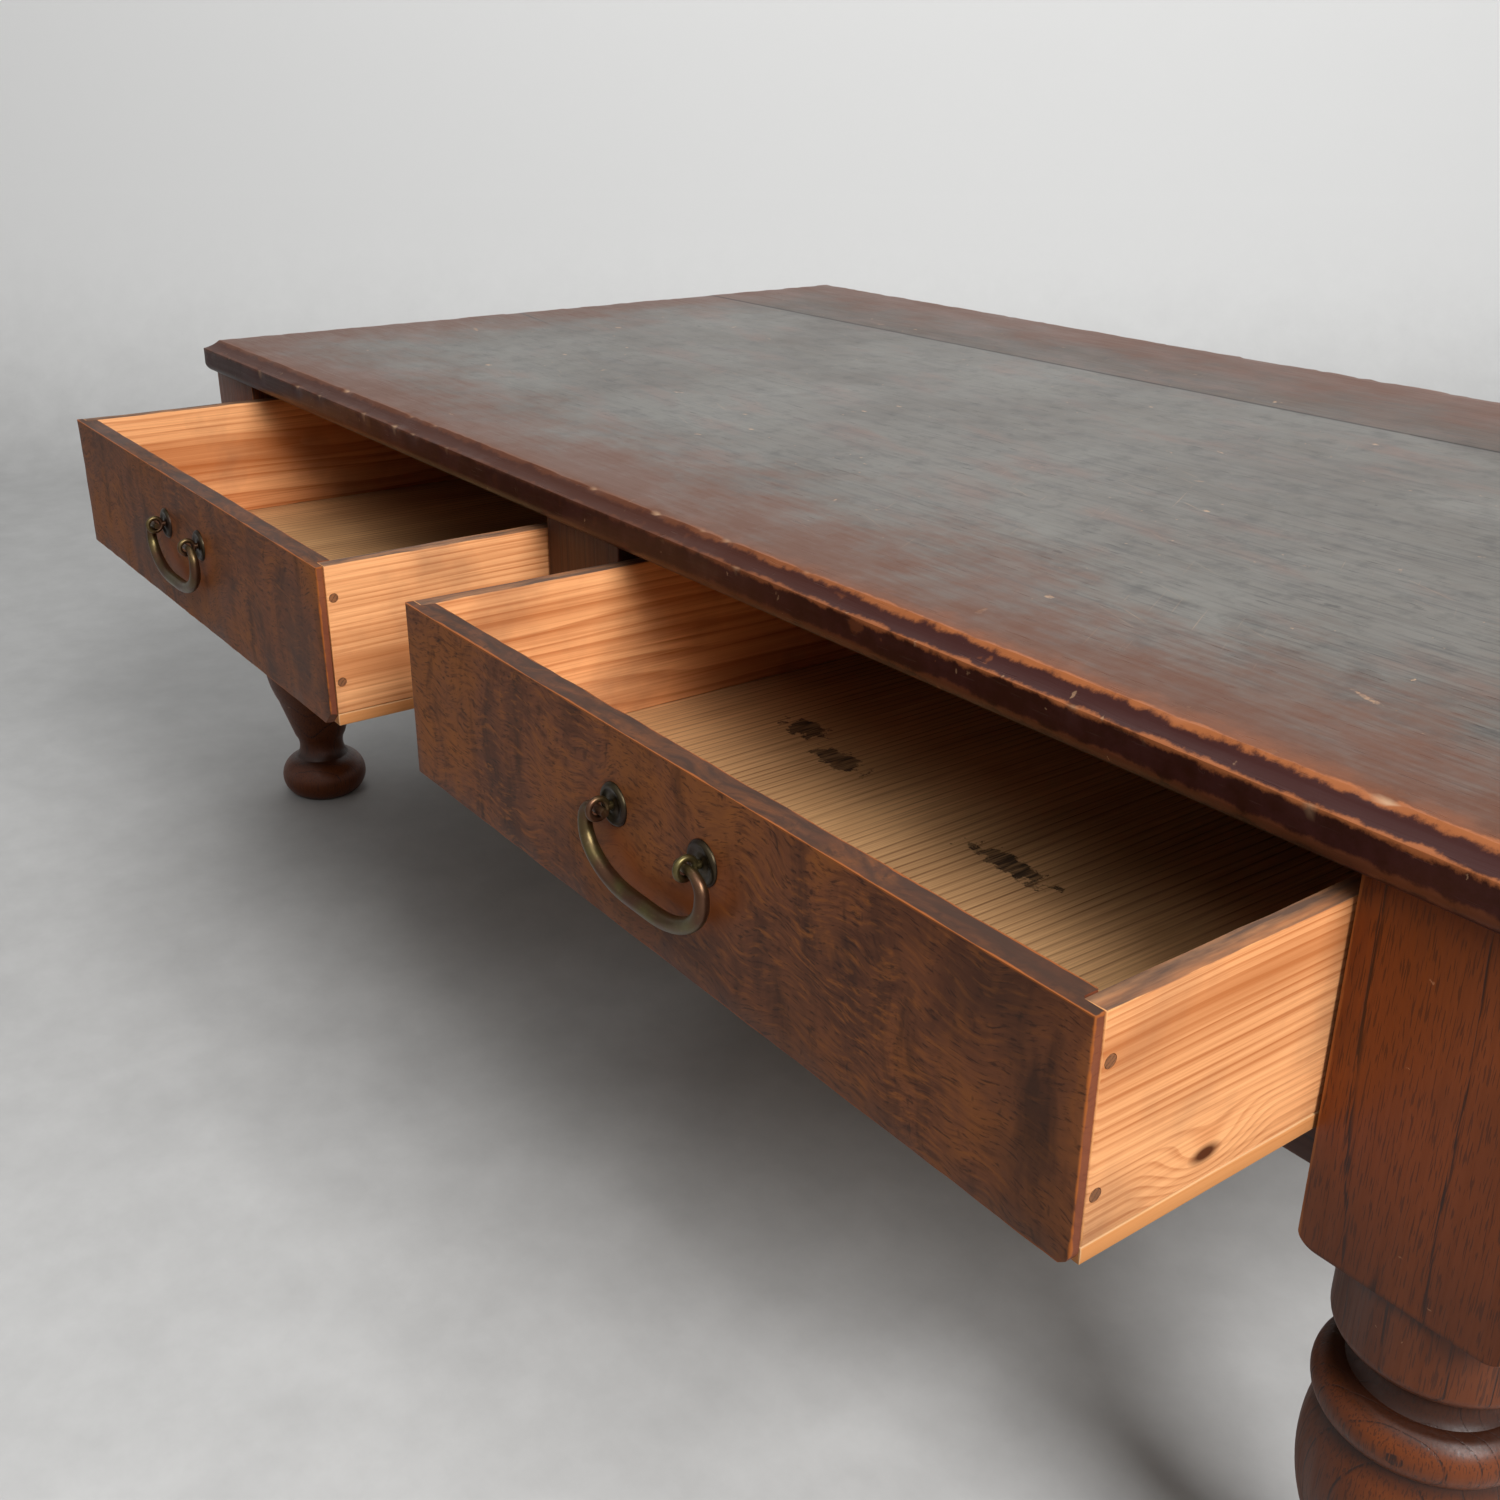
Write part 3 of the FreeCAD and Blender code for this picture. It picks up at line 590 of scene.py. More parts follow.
@dataclass(frozen=True)
class FrontTimber(DrawerTimber):
    """Figured hardwood of a drawer front: mottled, with dark streaks and a curl, rubbed behind the handle.

    Attributes:
        gold: Tone of the pale figure.
        ink: Tone of the dark streaks.
        rub: Tone of the places that the bail polishes.
        lip: Tone of the front's ends.
        eyes_mm: The handle's eyes above the front's lower edge.
        bail_mm: Half width and drop of the bail.
        curl_mm: Width of the waves in the figure, and how far they throw it.
        patch_mm: Width of a polished patch.
    """

    gold: str = "#a4622f"
    ink: str = "#2c160c"
    rub: str = "#9a5020"
    lip: str = "#7c4430"
    eyes_mm: float = 50.0
    bail_mm: tuple[float, float] = BAIL_MM
    curl_mm: tuple[float, float] = (55.0, 34.0)
    patch_mm: float = 14.29

    def grow(self, look: Look) -> None:
        """Lays a curled figure in place of plain rings.

        Args:
            look: The look so far.
        """
        s = look.s
        wide, throw = self.curl_mm
        slow = s.add("VectorMath", look.place, (1 / wide, 1 / wide, 1 / wide), operation="MULTIPLY")
        bend = s.add("TexNoise", {"Vector": slow, "Scale": 1.0, "Detail": 2.0}, output="Color")
        bend = s.add("VectorMath", bend, HALVES, operation="SUBTRACT")
        look.place = s.add("VectorMath", bend, (throw, throw, throw), look.place, operation="MULTIPLY_ADD")
        mottle = look.streaks(52.0, 52.0, 4.0, tall_mm=66.0)
        tones = ((0.3, self.late), (0.5, self.early), (0.72, self.gold))
        look.colour = s.add("ValToRGB", mottle, stops=tones)
        flame = look.streaks(13.0, 13.0, 4.0, tall_mm=75.0)
        look.coat(self.ink, flame, 0.53, 0.7, 0.7)
        look.coat(self.gold, flame, 0.44, 0.28, 0.55)
        curl = look.streaks(10.0, 10.0, 3.0, tall_mm=1.9)
        where = s.add("MapRange", look.streaks(120.0, 120.0, 2.0), 0.4, 0.6, 0.35, 1.0)
        light = s.add("Math", s.add("MapRange", curl, 0.52, 0.68, 0.0, 0.75), where, operation="MULTIPLY")
        dark = s.add("Math", s.add("MapRange", curl, 0.47, 0.33, 0.0, 0.75), where, operation="MULTIPLY")
        look.coat(self.gold, light)
        look.coat(self.late, dark)
        # The real pores are finer, about 0.2 mm, and are drawn coarser so that they show.
        fine = look.streaks(4.5, 4.5, 3.0, tall_mm=0.9)
        look.coat(self.pore, fine, 0.55, 0.68, 0.7)
        look.coat(self.pore, look.streaks(5.0, 5.0, 2.0, tall_mm=9.0), 0.66, 0.74, 0.55)
        look.rough = s.add("MapRange", mottle, 0.3, 0.7, *self.shine)
        look.height = s.add("Math", fine, -0.6, curl, operation="MULTIPLY_ADD")

    def soil(self, look: Look) -> None:
        """Adds the bail's rub marks and the redder ends.

        Args:
            look: The look so far.
        """
        super().soil(look)
        s = look.s
        wide, drop = self.bail_mm
        middle = (look.low + look.high) / 2
        across = s.add("Math", s.x, middle.x, operation="SUBTRACT")
        across = s.add("Math", across, wide, operation="DIVIDE")
        down = s.add("Math", s.z, look.low.z + self.eyes_mm, operation="SUBTRACT")
        down = s.add("Math", down, drop, operation="DIVIDE")
        flat = s.add("CombineXYZ", across, down, 0.0)
        round_about = s.add("VectorMath", flat, output="Value", operation="LENGTH")
        off = s.add("Math", s.add("Math", round_about, 0.95, operation="SUBTRACT"), operation="ABSOLUTE")
        band = s.add("MapRange", off, 0.5, 0.05, interpolation_type="SMOOTHSTEP")
        below = s.add("MapRange", down, 0.35, -0.2)
        patch = s.add("TexNoise", {"Vector": s.place, "Scale": 1 / self.patch_mm, "Detail": 4.0})
        patch = s.add("MapRange", patch, 0.3, 0.6, 0.25, 0.85)
        rubbed = s.add("Math", s.add("Math", band, below, operation="MULTIPLY"), patch, operation="MULTIPLY")
        look.coat(self.rub, rubbed)
        side = s.add("Math", s.add("SeparateXYZ", s.facing, output="X"), operation="ABSOLUTE")
        look.coat(self.lip, side, 0.6, 0.95, 0.7)


@dataclass(frozen=True)
class BottomTimber(Timber):
    """Bare softwood of a drawer's bottom, with spilt ink.

    Attributes:
        stains_mm: Each stain's place from the left front corner, and its reach along and across.
        rim_mm: Width of the tongues at a stain's rim.
        ink: Tone of old ink.
        edge: Tone of the board's edges, which see the light.
    """

    stains_mm: tuple = ()
    rim_mm: float = 6.25
    ink: str = "#241d19"
    edge: str = "#cf864a"

    def soil(self, look: Look) -> None:
        """Spills the ink, which runs along the fibres at its rim.

        Args:
            look: The look so far.
        """
        super().soil(look)
        s = look.s
        rim = {"Vector": s.place, "Scale": 1 / self.rim_mm, "Detail": 5.0, "Roughness": 0.65}
        ragged = s.add("MapRange", s.add("TexNoise", rim), 0.25, 0.75, -0.75, 0.75)
        scraped = s.add("MapRange", look.streaks(16.0, 1.2, 3.0), 0.4, 0.6, 0.55, 0.95)
        for x, y, long, wide in self.stains_mm:
            spot = (look.low.x + x, look.low.y + y, 0.0)
            off = s.add("VectorMath", s.place, spot, operation="SUBTRACT")
            unit = s.add("VectorMath", off, (1 / long, 1 / wide, 0.0), operation="MULTIPLY")
            away = s.add("VectorMath", unit, output="Value", operation="LENGTH")
            away = s.add("Math", away, ragged, operation="ADD")
            wet = s.add("MapRange", away, 1.0, 0.8, interpolation_type="SMOOTHSTEP")
            look.coat(self.ink, s.add("Math", wet, scraped, operation="MULTIPLY"))
        up = s.add("Math", s.add("SeparateXYZ", s.facing, output="Z"), operation="ABSOLUTE")
        look.coat(self.edge, up, 0.6, 0.3, 0.75)


@dataclass(frozen=True)
class LegTimber(Timber):
    """Oiled zelkova of the legs: rows of dark pores, painted shade in the turned creases, small pale knocks.

    Attributes:
        block_mm: Underside and half width of the square block.
        tall_mm: Height of the desk, up to which the creases are given.
        crease_shade: Heights in millimetres, and how much shade is painted on the turning there.
        knock: Tone of fresh knocks.
    """

    block_mm: tuple[float, float] = (195.0, 34.0)
    tall_mm: float = 347.0
    crease_shade: tuple = (
        (0.0, 0.8),
        (6.0, 0.2),
        (27.0, 0.15),
        (32.0, 0.9),
        (38.0, 0.4),
        (50.0, 0.15),
        (126.0, 0.05),
        (134.0, 0.95),
        (137.0, 0.15),
        (147.0, 0.1),
        (151.5, 0.95),
        (158.0, 0.7),
        (164.0, 0.9),
        (168.0, 0.2),
        (190.0, 0.1),
        (194.6, 0.7),
        (196.5, 0.0),
        (347.0, 0.0),
    )
    knock: str = "#b98a66"

    def soil(self, look: Look) -> None:
        """Paints shade into the creases of the turning, and knocks the wood here and there.

        Args:
            look: The look so far.
        """
        super().soil(look)
        tall = look.s.add("Math", look.s.z, self.tall_mm, operation="DIVIDE")
        stops = tuple((height / self.tall_mm, share) for height, share in self.crease_shade)
        # Painted shade: the turning is darkened in its coves and creases, and at the foot, where shade falls.
        look.coat(self.pore, look.s.add("ValToRGB", tall, stops=stops))
        look.coat(self.knock, look.spots(14.0, 1.5, 0.4), most=0.5)

    def wear(self, look: Look) -> None:
        """Rubs the upright arrises of the block.

        Args:
            look: The look so far.
        """
        s = look.s
        bottom, half = self.block_mm
        axis = (look.low + look.high) / 2
        wide = s.add("Math", s.add("Math", s.x, axis.x, operation="SUBTRACT"), operation="ABSOLUTE")
        deep = s.add("Math", s.add("Math", s.y, axis.y, operation="SUBTRACT"), operation="ABSOLUTE")
        nearer = s.add("Math", wide, deep, operation="MINIMUM")
        corner = s.add("Math", half, nearer, operation="SUBTRACT")
        block = s.add("MapRange", s.z, bottom - 1.0, bottom + 1.0)
        rubbed = s.add("Math", self.rubbed(look, corner, 0.7), block, operation="MULTIPLY")
        look.coat(self.worn, rubbed)


@dataclass(frozen=True)
class TopTimber(Timber):
    """Waxed top: grey clouds of dull wax and painted sheen where it was written on, warm towards its edges,
    with a dark worn moulding.

    Attributes:
        chamfer_mm: Hollow chamfer across and down.
        worn_from_mm: Where hard wear starts and is full, along the top.
        check_mm: A check in the left end: its place in depth, its length, and how far it strays in depth.
        under_mm: Line of thin wax on the face, under the chamfer.
        shore_mm: Width of the bays where the warm edge meets the dull middle.
        haze_mm: Width of the grey clouds, dull wax and painted sheen, and of the wiped swirls.
        mottle_mm: Width of the dark mottling.
        warm: Tone near the edges.
        haze_and_sheen: Tone of the rubbed middle: grey, for dull wax and for a painted sheen.
        chamfer: Tone of the chamfer at the writer's right.
        deep: Tone of the chamfer elsewhere, where hands wore it less.
        face: Tone of the upright face.
        glow: Tone of thin wax beside the arrises.
        knock: Tone of pale dents.
    """

    chamfer_mm: tuple[float, float] = CHAMFER_MM
    worn_from_mm: tuple[float, float] = (40.0, 280.0)
    check_mm: tuple[float, float, float] = (27.0, 78.0, 12.0)
    under_mm: float = 11.5
    shore_mm: float = 45.45
    haze_mm: tuple[float, float] = (166.67, 90.91)
    mottle_mm: float = 16.667
    warm: str = "#62351c"
    haze_and_sheen: str = "#7a7972"
    chamfer: str = "#3e201d"
    deep: str = "#4a2516"
    face: str = "#341810"
    glow: str = "#8a5030"
    knock: str = "#c09a78"

    def wear(self, look: Look) -> None:
        """Warms the top towards its edges, then works the moulding, the joint and the check.

        Args:
            look: The look so far.
        """
        s = look.s
        low, high = (tuple(Vector(corner) / MM) for corner in (whole_top().low, whole_top().high))
        below = s.add("VectorMath", s.place, low, operation="SUBTRACT")
        above = s.add("VectorMath", high, s.place, operation="SUBTRACT")
        inner = s.add("VectorMath", below, above, operation="MINIMUM")
        x, y = (s.add("SeparateXYZ", inner, output=axis) for axis in "XY")
        inward = s.add("Math", x, y, operation="MINIMUM")
        hard = s.add("MapRange", s.x, *self.worn_from_mm, 0.18, 1.0, interpolation_type="SMOOTHSTEP")
        shore = {"Vector": s.place, "Scale": 1 / self.shore_mm, "Detail": 7.0, "Roughness": 0.66}
        fade = s.add("Math", s.add("TexNoise", shore), 200.0, -100.0, operation="MULTIPLY_ADD")
        fade = s.add("Math", inward, fade, operation="ADD")
        fade = s.add("Math", look.streaks(30.0, 3.4, 4.0), 80.0, fade, operation="MULTIPLY_ADD")
        look.coat(self.warm, fade, 165.0, 50.0, 0.85, soft=True)
        self.mould(look, inward, hard)
        gloss = s.add("MapRange", fade, 50.0, 175.0, 0.14, self.specular)
        self.join(look, gloss)
        self.split(look)

    def mould(self, look: Look, inward: NodeSocket, hard: NodeSocket) -> None:
        """Darkens the chamfer and the face, and rubs and chips their arrises.

        Args:
            look: The look so far.
            inward: How far a place is inside the top's outline, in millimetres.
            hard: How hard the moulding was worn there.
        """
        s = look.s
        wide, drop = self.chamfer_mm
        arris = look.high.z - drop
        rags = {"Vector": s.place, "Scale": 1 / self.mottle_mm, "Detail": 9.0, "Roughness": 0.72}
        ragged = s.add("TexNoise", rags)
        glow = s.add("Math", ragged, 40.0, inward, operation="MULTIPLY_ADD")
        glow = s.add("MapRange", glow, 40.0, 22.0, 0.0, 0.75)
        look.coat(self.glow, s.add("Math", glow, hard, operation="MULTIPLY"))
        look.coat(s.add("MixRGB", hard, self.deep, self.chamfer), inward, wide + 0.2, wide - 0.2)
        low = s.add("MapRange", s.z, arris + 0.3, arris - 0.3)
        outer = s.add("MapRange", inward, wide - 2.0, wide - 3.0)
        smoky = s.add("MixRGB", s.add("MapRange", ragged, 0.42, 0.6), self.face, self.chamfer)
        look.coat(smoky, s.add("Math", low, outer, operation="MULTIPLY"))
        broken = s.add("MapRange", ragged, 0.3, 0.72, -0.4, 3.6)
        upper = s.add("Math", s.add("Math", inward, wide - 0.2, operation="SUBTRACT"), operation="ABSOLUTE")
        high = s.add("MapRange", s.z, arris + 2.0, arris + 4.0)
        over = s.add("Math", s.z, arris, operation="SUBTRACT")
        lower = s.add("CombineXYZ", inward, over, 0.0)
        lower = s.add("VectorMath", lower, output="Value", operation="LENGTH")
        under = s.add("Math", s.z, arris - self.under_mm, operation="SUBTRACT")
        under = s.add("Math", under, operation="ABSOLUTE")
        for distance, share, part in ((upper, 0.9, high), (lower, 0.85, 1.0), (under, 0.25, outer)):
            uneven = s.add("Math", distance, broken, operation="SUBTRACT")
            line = s.add("MapRange", uneven, 0.7, -1.1, 0.0, share, interpolation_type="SMOOTHSTEP")
            line = s.add("Math", line, hard, operation="MULTIPLY")
            look.coat(self.worn, s.add("Math", line, part, operation="MULTIPLY"))
        look.coat(self.knock, s.add("Attribute", output="Fac", attribute_name=BARE), 0.25, 0.9, 0.85)
        chips = s.add("Math", look.spots(13.0, 4.2, 1.3), outer, operation="MULTIPLY")
        look.coat(self.glow, s.add("Math", chips, hard, operation="MULTIPLY"), most=0.45)
        pricks = s.add("Math", look.spots(11.0, 2.2, 0.5), outer, operation="MULTIPLY")
        look.coat(self.knock, pricks, most=0.4)

    def join(self, look: Look, gloss: NodeSocket) -> None:
        """Darkens and dulls the joint between the boards.

        Args:
            look: The look so far.
            gloss: How strongly the top mirrors elsewhere.
        """
        s = look.s
        seam = s.add("Math", s.y, whole_top().seam / MM, operation="SUBTRACT")
        seam = s.add("Math", seam, operation="ABSOLUTE")
        look.coat(self.pore, seam, 2.6, 0.8, 0.8)
        dull = s.add("MapRange", seam, 0.8, 2.6, 0.3, 1.0)
        look.gloss = s.add("Math", gloss, dull, operation="MULTIPLY")

    def split(self, look: Look) -> None:
        """Opens the check in the left end, which thins out along the fibres.

        Args:
            look: The look so far.
        """
        s = look.s
        start, long, stray = self.check_mm
        along = s.add("MapRange", s.x, look.low.x, look.low.x + long)
        line = s.add("Math", along, -stray, start, operation="MULTIPLY_ADD")
        off = s.add("Math", s.add("Math", s.y, line, operation="SUBTRACT"), operation="ABSOLUTE")
        thin = s.add("MapRange", along, 0.0, 1.0, 1.6, 0.0)
        look.coat(self.pore, s.add("Math", off, thin, operation="SUBTRACT"), 0.6, 0.0, 0.8)

    def soil(self, look: Look) -> None:
        """Scratches and dents the written-on middle, and clouds it grey with dull wax and painted sheen.

        Args:
            look: The look so far.
        """
        s = look.s
        # Painted sheen: grey clouds, wiped swirls and threads, partly for the wax's dull bloom and partly
        # standing in for its sheen.
        dull = {"Vector": s.place, "Scale": 1 / self.haze_mm[0], "Detail": 6.0, "Roughness": 0.62}
        cloud = s.add("TexNoise", dull)
        look.coat(self.haze_and_sheen, cloud, 0.3, 0.68, 0.55, 0.1)
        wiped = {"Vector": s.place, "Scale": 1 / self.haze_mm[1], "Detail": 6.0, "Roughness": 0.6}
        wiped["Distortion"] = 1.6
        look.coat(self.haze_and_sheen, s.add("TexNoise", wiped), 0.38, 0.7, 0.4, 0.05)
        smear = look.streaks(75.0, 30.0, 7.0, 0.2)
        look.coat(self.warm, smear, 0.54, 0.7, 0.55)
        mottle = {"Vector": s.place, "Scale": 1 / self.mottle_mm, "Detail": 8.0, "Roughness": 0.72}
        look.coat(self.pore, s.add("TexNoise", mottle), 0.5, 0.68, 0.6)
        thread = look.streaks(40.0, 1.6, 3.0)
        look.coat(self.pore, thread, 0.5, 0.7, 0.6)
        look.coat(self.haze_and_sheen, thread, 0.5, 0.3, 0.3)
        cracks = s.add("MapRange", look.streaks(16.0, 1.1, 1.0), 0.7, 0.75, 0.0, 0.9)
        look.coat(self.pore, cracks)
        # Real scratches are about 0.2 mm wide. They are drawn coarser, so that they show at all.
        worked = s.add("MapRange", look.streaks(160.0, 160.0, 2.0), 0.5, 0.62)
        for turn, share in ((0.35, 0.4), (1.1, 0.3)):
            scratch = s.add("MapRange", look.streaks(45.0, 0.8, 1.0, turn), 0.74, 0.77, 0.0, share)
            look.coat(self.knock, s.add("Math", scratch, worked, operation="MULTIPLY"))
        dents = look.spots(24.0, 2.4, 1.8)
        for turn, long in ((0.35, 6.0), (-0.5, 4.0), (1.2, 3.0)):
            dents = s.add("Math", dents, look.spots(17.0, 1.7, long, turn), operation="MAXIMUM")
        look.coat(self.knock, dents, most=0.75)
        look.coat(self.knock, look.spots(8.0, 0.9), most=0.6)
        look.coat(self.pore, look.spots(15.0, 1.8, 2.4), most=0.7)
        deep = s.add("Math", s.add("Math", dents, cracks, operation="ADD"), 1.5, operation="MULTIPLY")
        look.height = s.add("Math", look.height, deep, operation="SUBTRACT")
        patchy = s.add("Math", s.add("Math", cloud, smear, operation="ADD"), thread, operation="ADD")
        look.rough = s.add("MapRange", patchy, 1.2, 1.8, self.shine[1], self.shine[0])


# Zelkova, turned and oiled: warm brown with rows of dark pores, and a low sheen on the rounds.
ZELKOVA = LegTimber(
    name="oiled_zelkova",
    early="#763a15",
    late="#5a2a10",
    pore="#26120a",
    worn="#9c5a28",
    grime="#45220f",
    ring_mm=5.6,
    wander_mm=8.0,
    fibre_mm=1.3,
    late_share=0.5,
    pore_share=0.9,
    shine=(0.34, 0.5),
    wear_mm=1.0,
    pith_mm=(900.0, 640.0),
    late_width=0.16,
    pore_level=0.56,
)
# Zelkova, planed and oiled: long straight grain, and an even, duller sheen.
APRON_WOOD = Timber(
    name="oiled_zelkova_rail",
    early="#6a3716",
    late="#48220e",
    pore="#1e0e08",
    worn="#8a4e24",
    grime="#3a1e0e",
    ring_mm=6.5,
    wander_mm=10.0,
    fibre_mm=1.6,
    late_share=0.5,
    pore_share=0.7,
    shine=(0.4, 0.55),
    wear_mm=1.0,
    pith_mm=(800.0, 520.0),
    late_width=0.22,
)
# The same between the drawers, painted nearly black: painted shade on the stile and the front rail, which lie
# in shade under the top.
SHADED_WOOD = replace(APRON_WOOD, name="shade_painted_zelkova_stile", early="#4a2410", late="#301609", worn="#5a3018")
# Pine, planed and left bare: orange late wood in bands on pale early wood, and hardly any sheen.
RAW_PINE = DrawerTimber(
    name="bare_pine",
    early="#fbb67c",
    late="#b2632f",
    pore="#54290f",
    worn="#e8a468",
    grime="#5e473a",
    ring_mm=3.6,
    wander_mm=11.0,
    fibre_mm=0.9,
    late_share=0.64,
    pore_share=0.0,
    shine=(0.5, 0.65),
    wear_mm=0.5,
    pith_mm=(310.0, 95.0),
    relief_mm=0.015,
    unlike=3.4,
    late_width=0.5,
    band_share=0.7,
    specular=0.2,
)
# Cedar, planed thin and left bare: fine brown lines on straw, dry and without a sheen.
BOTTOM_CEDAR = BottomTimber(
    name="planed_cedar",
    early="#e6b47e",
    late="#6a452a",
    pore="#3a2616",
    worn="#d0a478",
    grime="#b08558",
    ring_mm=4.6,
    wander_mm=7.0,
    fibre_mm=1.0,
    late_share=0.6,
    pore_share=0.0,
    shine=(0.6, 0.75),
    wear_mm=0.4,
    pith_mm=(420.0, -190.0),
    relief_mm=0.02,
    late_width=0.3,
    band_share=0.15,
    specular=0.2,
)
# Figured hardwood, planed and oiled: short waves of gold and brown, and dark flames.
FRONT_WOOD = FrontTimber(
    name="figured_hardwood",
    early="#834e31",
    late="#542d19",
    pore="#2a140a",
    worn="#a85e2a",
    grime="#40291d",
    ring_mm=26.0,
    wander_mm=38.0,
    fibre_mm=2.4,
    late_share=0.6,
    pore_share=0.5,
    shine=(0.42, 0.56),
    wear_mm=0.8,
    pith_mm=(700.0, 300.0),
    specular=0.14,
)
# Dark hardwood, planed and waxed: red brown where the wax is whole, grey and cloudy where it is rubbed, the
# grey partly a painted sheen.
TOP_WOOD = TopTimber(
    name="waxed_dark_top",
    early="#4a3b30",
    late="#352820",
    pore="#140d0a",
    worn="#a8643a",
    grime="#4a2c20",
    ring_mm=9.0,
    wander_mm=26.0,
    fibre_mm=1.8,
    late_share=0.35,
    pore_share=0.2,
    shine=(0.3, 0.42),
    wear_mm=1.6,
    pith_mm=(620.0, 900.0),
    specular=0.5,
)
# The same on the narrow board at the back, where nobody wrote: browner, with a weaker sheen.
BACK_TOP_WOOD = replace(
    TOP_WOOD,
    name="waxed_dark_back",
    early="#4a3322",
    late="#352116",
    haze_and_sheen="#54463a",
    specular=0.28,
    pith_mm=(300.0, 760.0),
)
# Pine, sawn and left rough: brown with dust, and without a sheen.
HIDDEN_WOOD = Timber(
    name="sawn_pine",
    early="#8a6444",
    late="#5a3c28",
    pore="#2c1c12",
    worn="#a07850",
    grime="#4a3a30",
    ring_mm=4.5,
    wander_mm=6.0,
    fibre_mm=1.4,
    late_share=0.6,
    pore_share=0.0,
    shine=(0.6, 0.8),
    wear_mm=0.8,
    pith_mm=(330.0, 210.0),
)
# Hardwood, split and cut off flush: small dark end grain.
PEG_WOOD = Timber(
    name="dark_peg",
    early="#94603c",
    late="#6a4228",
    pore="#20120c",
    worn="#8a5c3c",
    grime="#5a4436",
    ring_mm=1.6,
    wander_mm=1.0,
    fibre_mm=0.5,
    late_share=0.7,
    pore_share=0.4,
    shine=(0.5, 0.65),
    wear_mm=0.4,
    pith_mm=(40.0, 25.0),
)


@dataclass(frozen=True)
class Bronze:
    """Bronze, cast and patinated: brown and olive blotches, and soft bright lines where fingers rub it.

    Attributes:
        name: Common name of the metal and its skin.
        skin: Tone of the brown skin.
        olive: Tone of the olive patches.
        bright: Tone of rubbed metal.
        blotch_mm: Width of the skin's blotches.
        fine_mm: Width of the finest marks, drawn coarser than the casting's grit so that they show.
    """

    name: str = "patinated_bronze"
    skin: str = "#553a2a"
    olive: str = "#5a5030"
    bright: str = "#8c7a58"
    blotch_mm: float = 14.29
    fine_mm: float = 2.0

    def material(self) -> Material:
        """Makes the bronze.

        Returns:
            The material.
        """
        s = Surface(self.name)
        blotch = s.add("TexNoise", {"Vector": s.place, "Scale": 1 / self.blotch_mm, "Detail": 3.0})
        fine = s.add("TexNoise", {"Vector": s.place, "Scale": 1 / self.fine_mm, "Detail": 4.0})
        colour = s.add("MixRGB", s.add("MapRange", blotch, 0.4, 0.62), self.skin, self.olive)
        colour = s.add("MixRGB", s.add("MapRange", fine, 0.6, 0.8, 0.0, 0.35), colour, self.bright)
        rough = s.add("MapRange", fine, 0.2, 0.8, 0.28, 0.42)
        return s.finish(colour, rough, fine, 0.02, Metallic=0.85)


# Bronze, cast and patinated: brown and olive, and brighter where fingers rub it.
BAIL_BRONZE = Bronze()
# The same round the eyes, where no hand polishes it: nearly black.
ROSETTE_BRONZE = Bronze("dark_bronze", skin="#30231c", olive="#38301f", bright="#5c4c36")


def select_only(piece: Object) -> None:
    """Makes one piece the only selected and active one.

    Args:
        piece: The piece.
    """
    bpy.ops.object.select_all(action="DESELECT")
    piece.select_set(True)
    bpy.context.view_layer.objects.active = piece


def close_up() -> None:
    """Joins the doubled points of the active piece and turns its faces outwards."""
    bpy.ops.object.mode_set(mode="EDIT")
    bpy.ops.mesh.select_all(action="SELECT")
    bpy.ops.mesh.remove_doubles(threshold=WELD)
    bpy.ops.mesh.normals_make_consistent(inside=False)
    bpy.ops.object.mode_set(mode="OBJECT")


def merged_copy(frame: dict, node: str, name: str) -> Object:
    """Copies a solid's mesh, with its loose triangles joined into faces.

    Args:
        node: The solid.
        name: The copy's name.

    Returns:
        The copy, selected and active.
    """
    piece = bpy.data.objects.new(name, frame["nodes"][node].data.copy())
    bpy.context.scene.collection.objects.link(piece)
    piece.data.materials.clear()
    select_only(piece)
    bpy.ops.object.mode_set(mode="EDIT")
    bpy.ops.mesh.select_all(action="SELECT")
    bpy.ops.mesh.remove_doubles(threshold=SAME_POINT)
    bpy.ops.mesh.dissolve_limited(angle_limit=FLAT)
    bpy.ops.object.mode_set(mode="OBJECT")
    bpy.ops.mesh.customdata_custom_splitnormals_clear()
    return piece


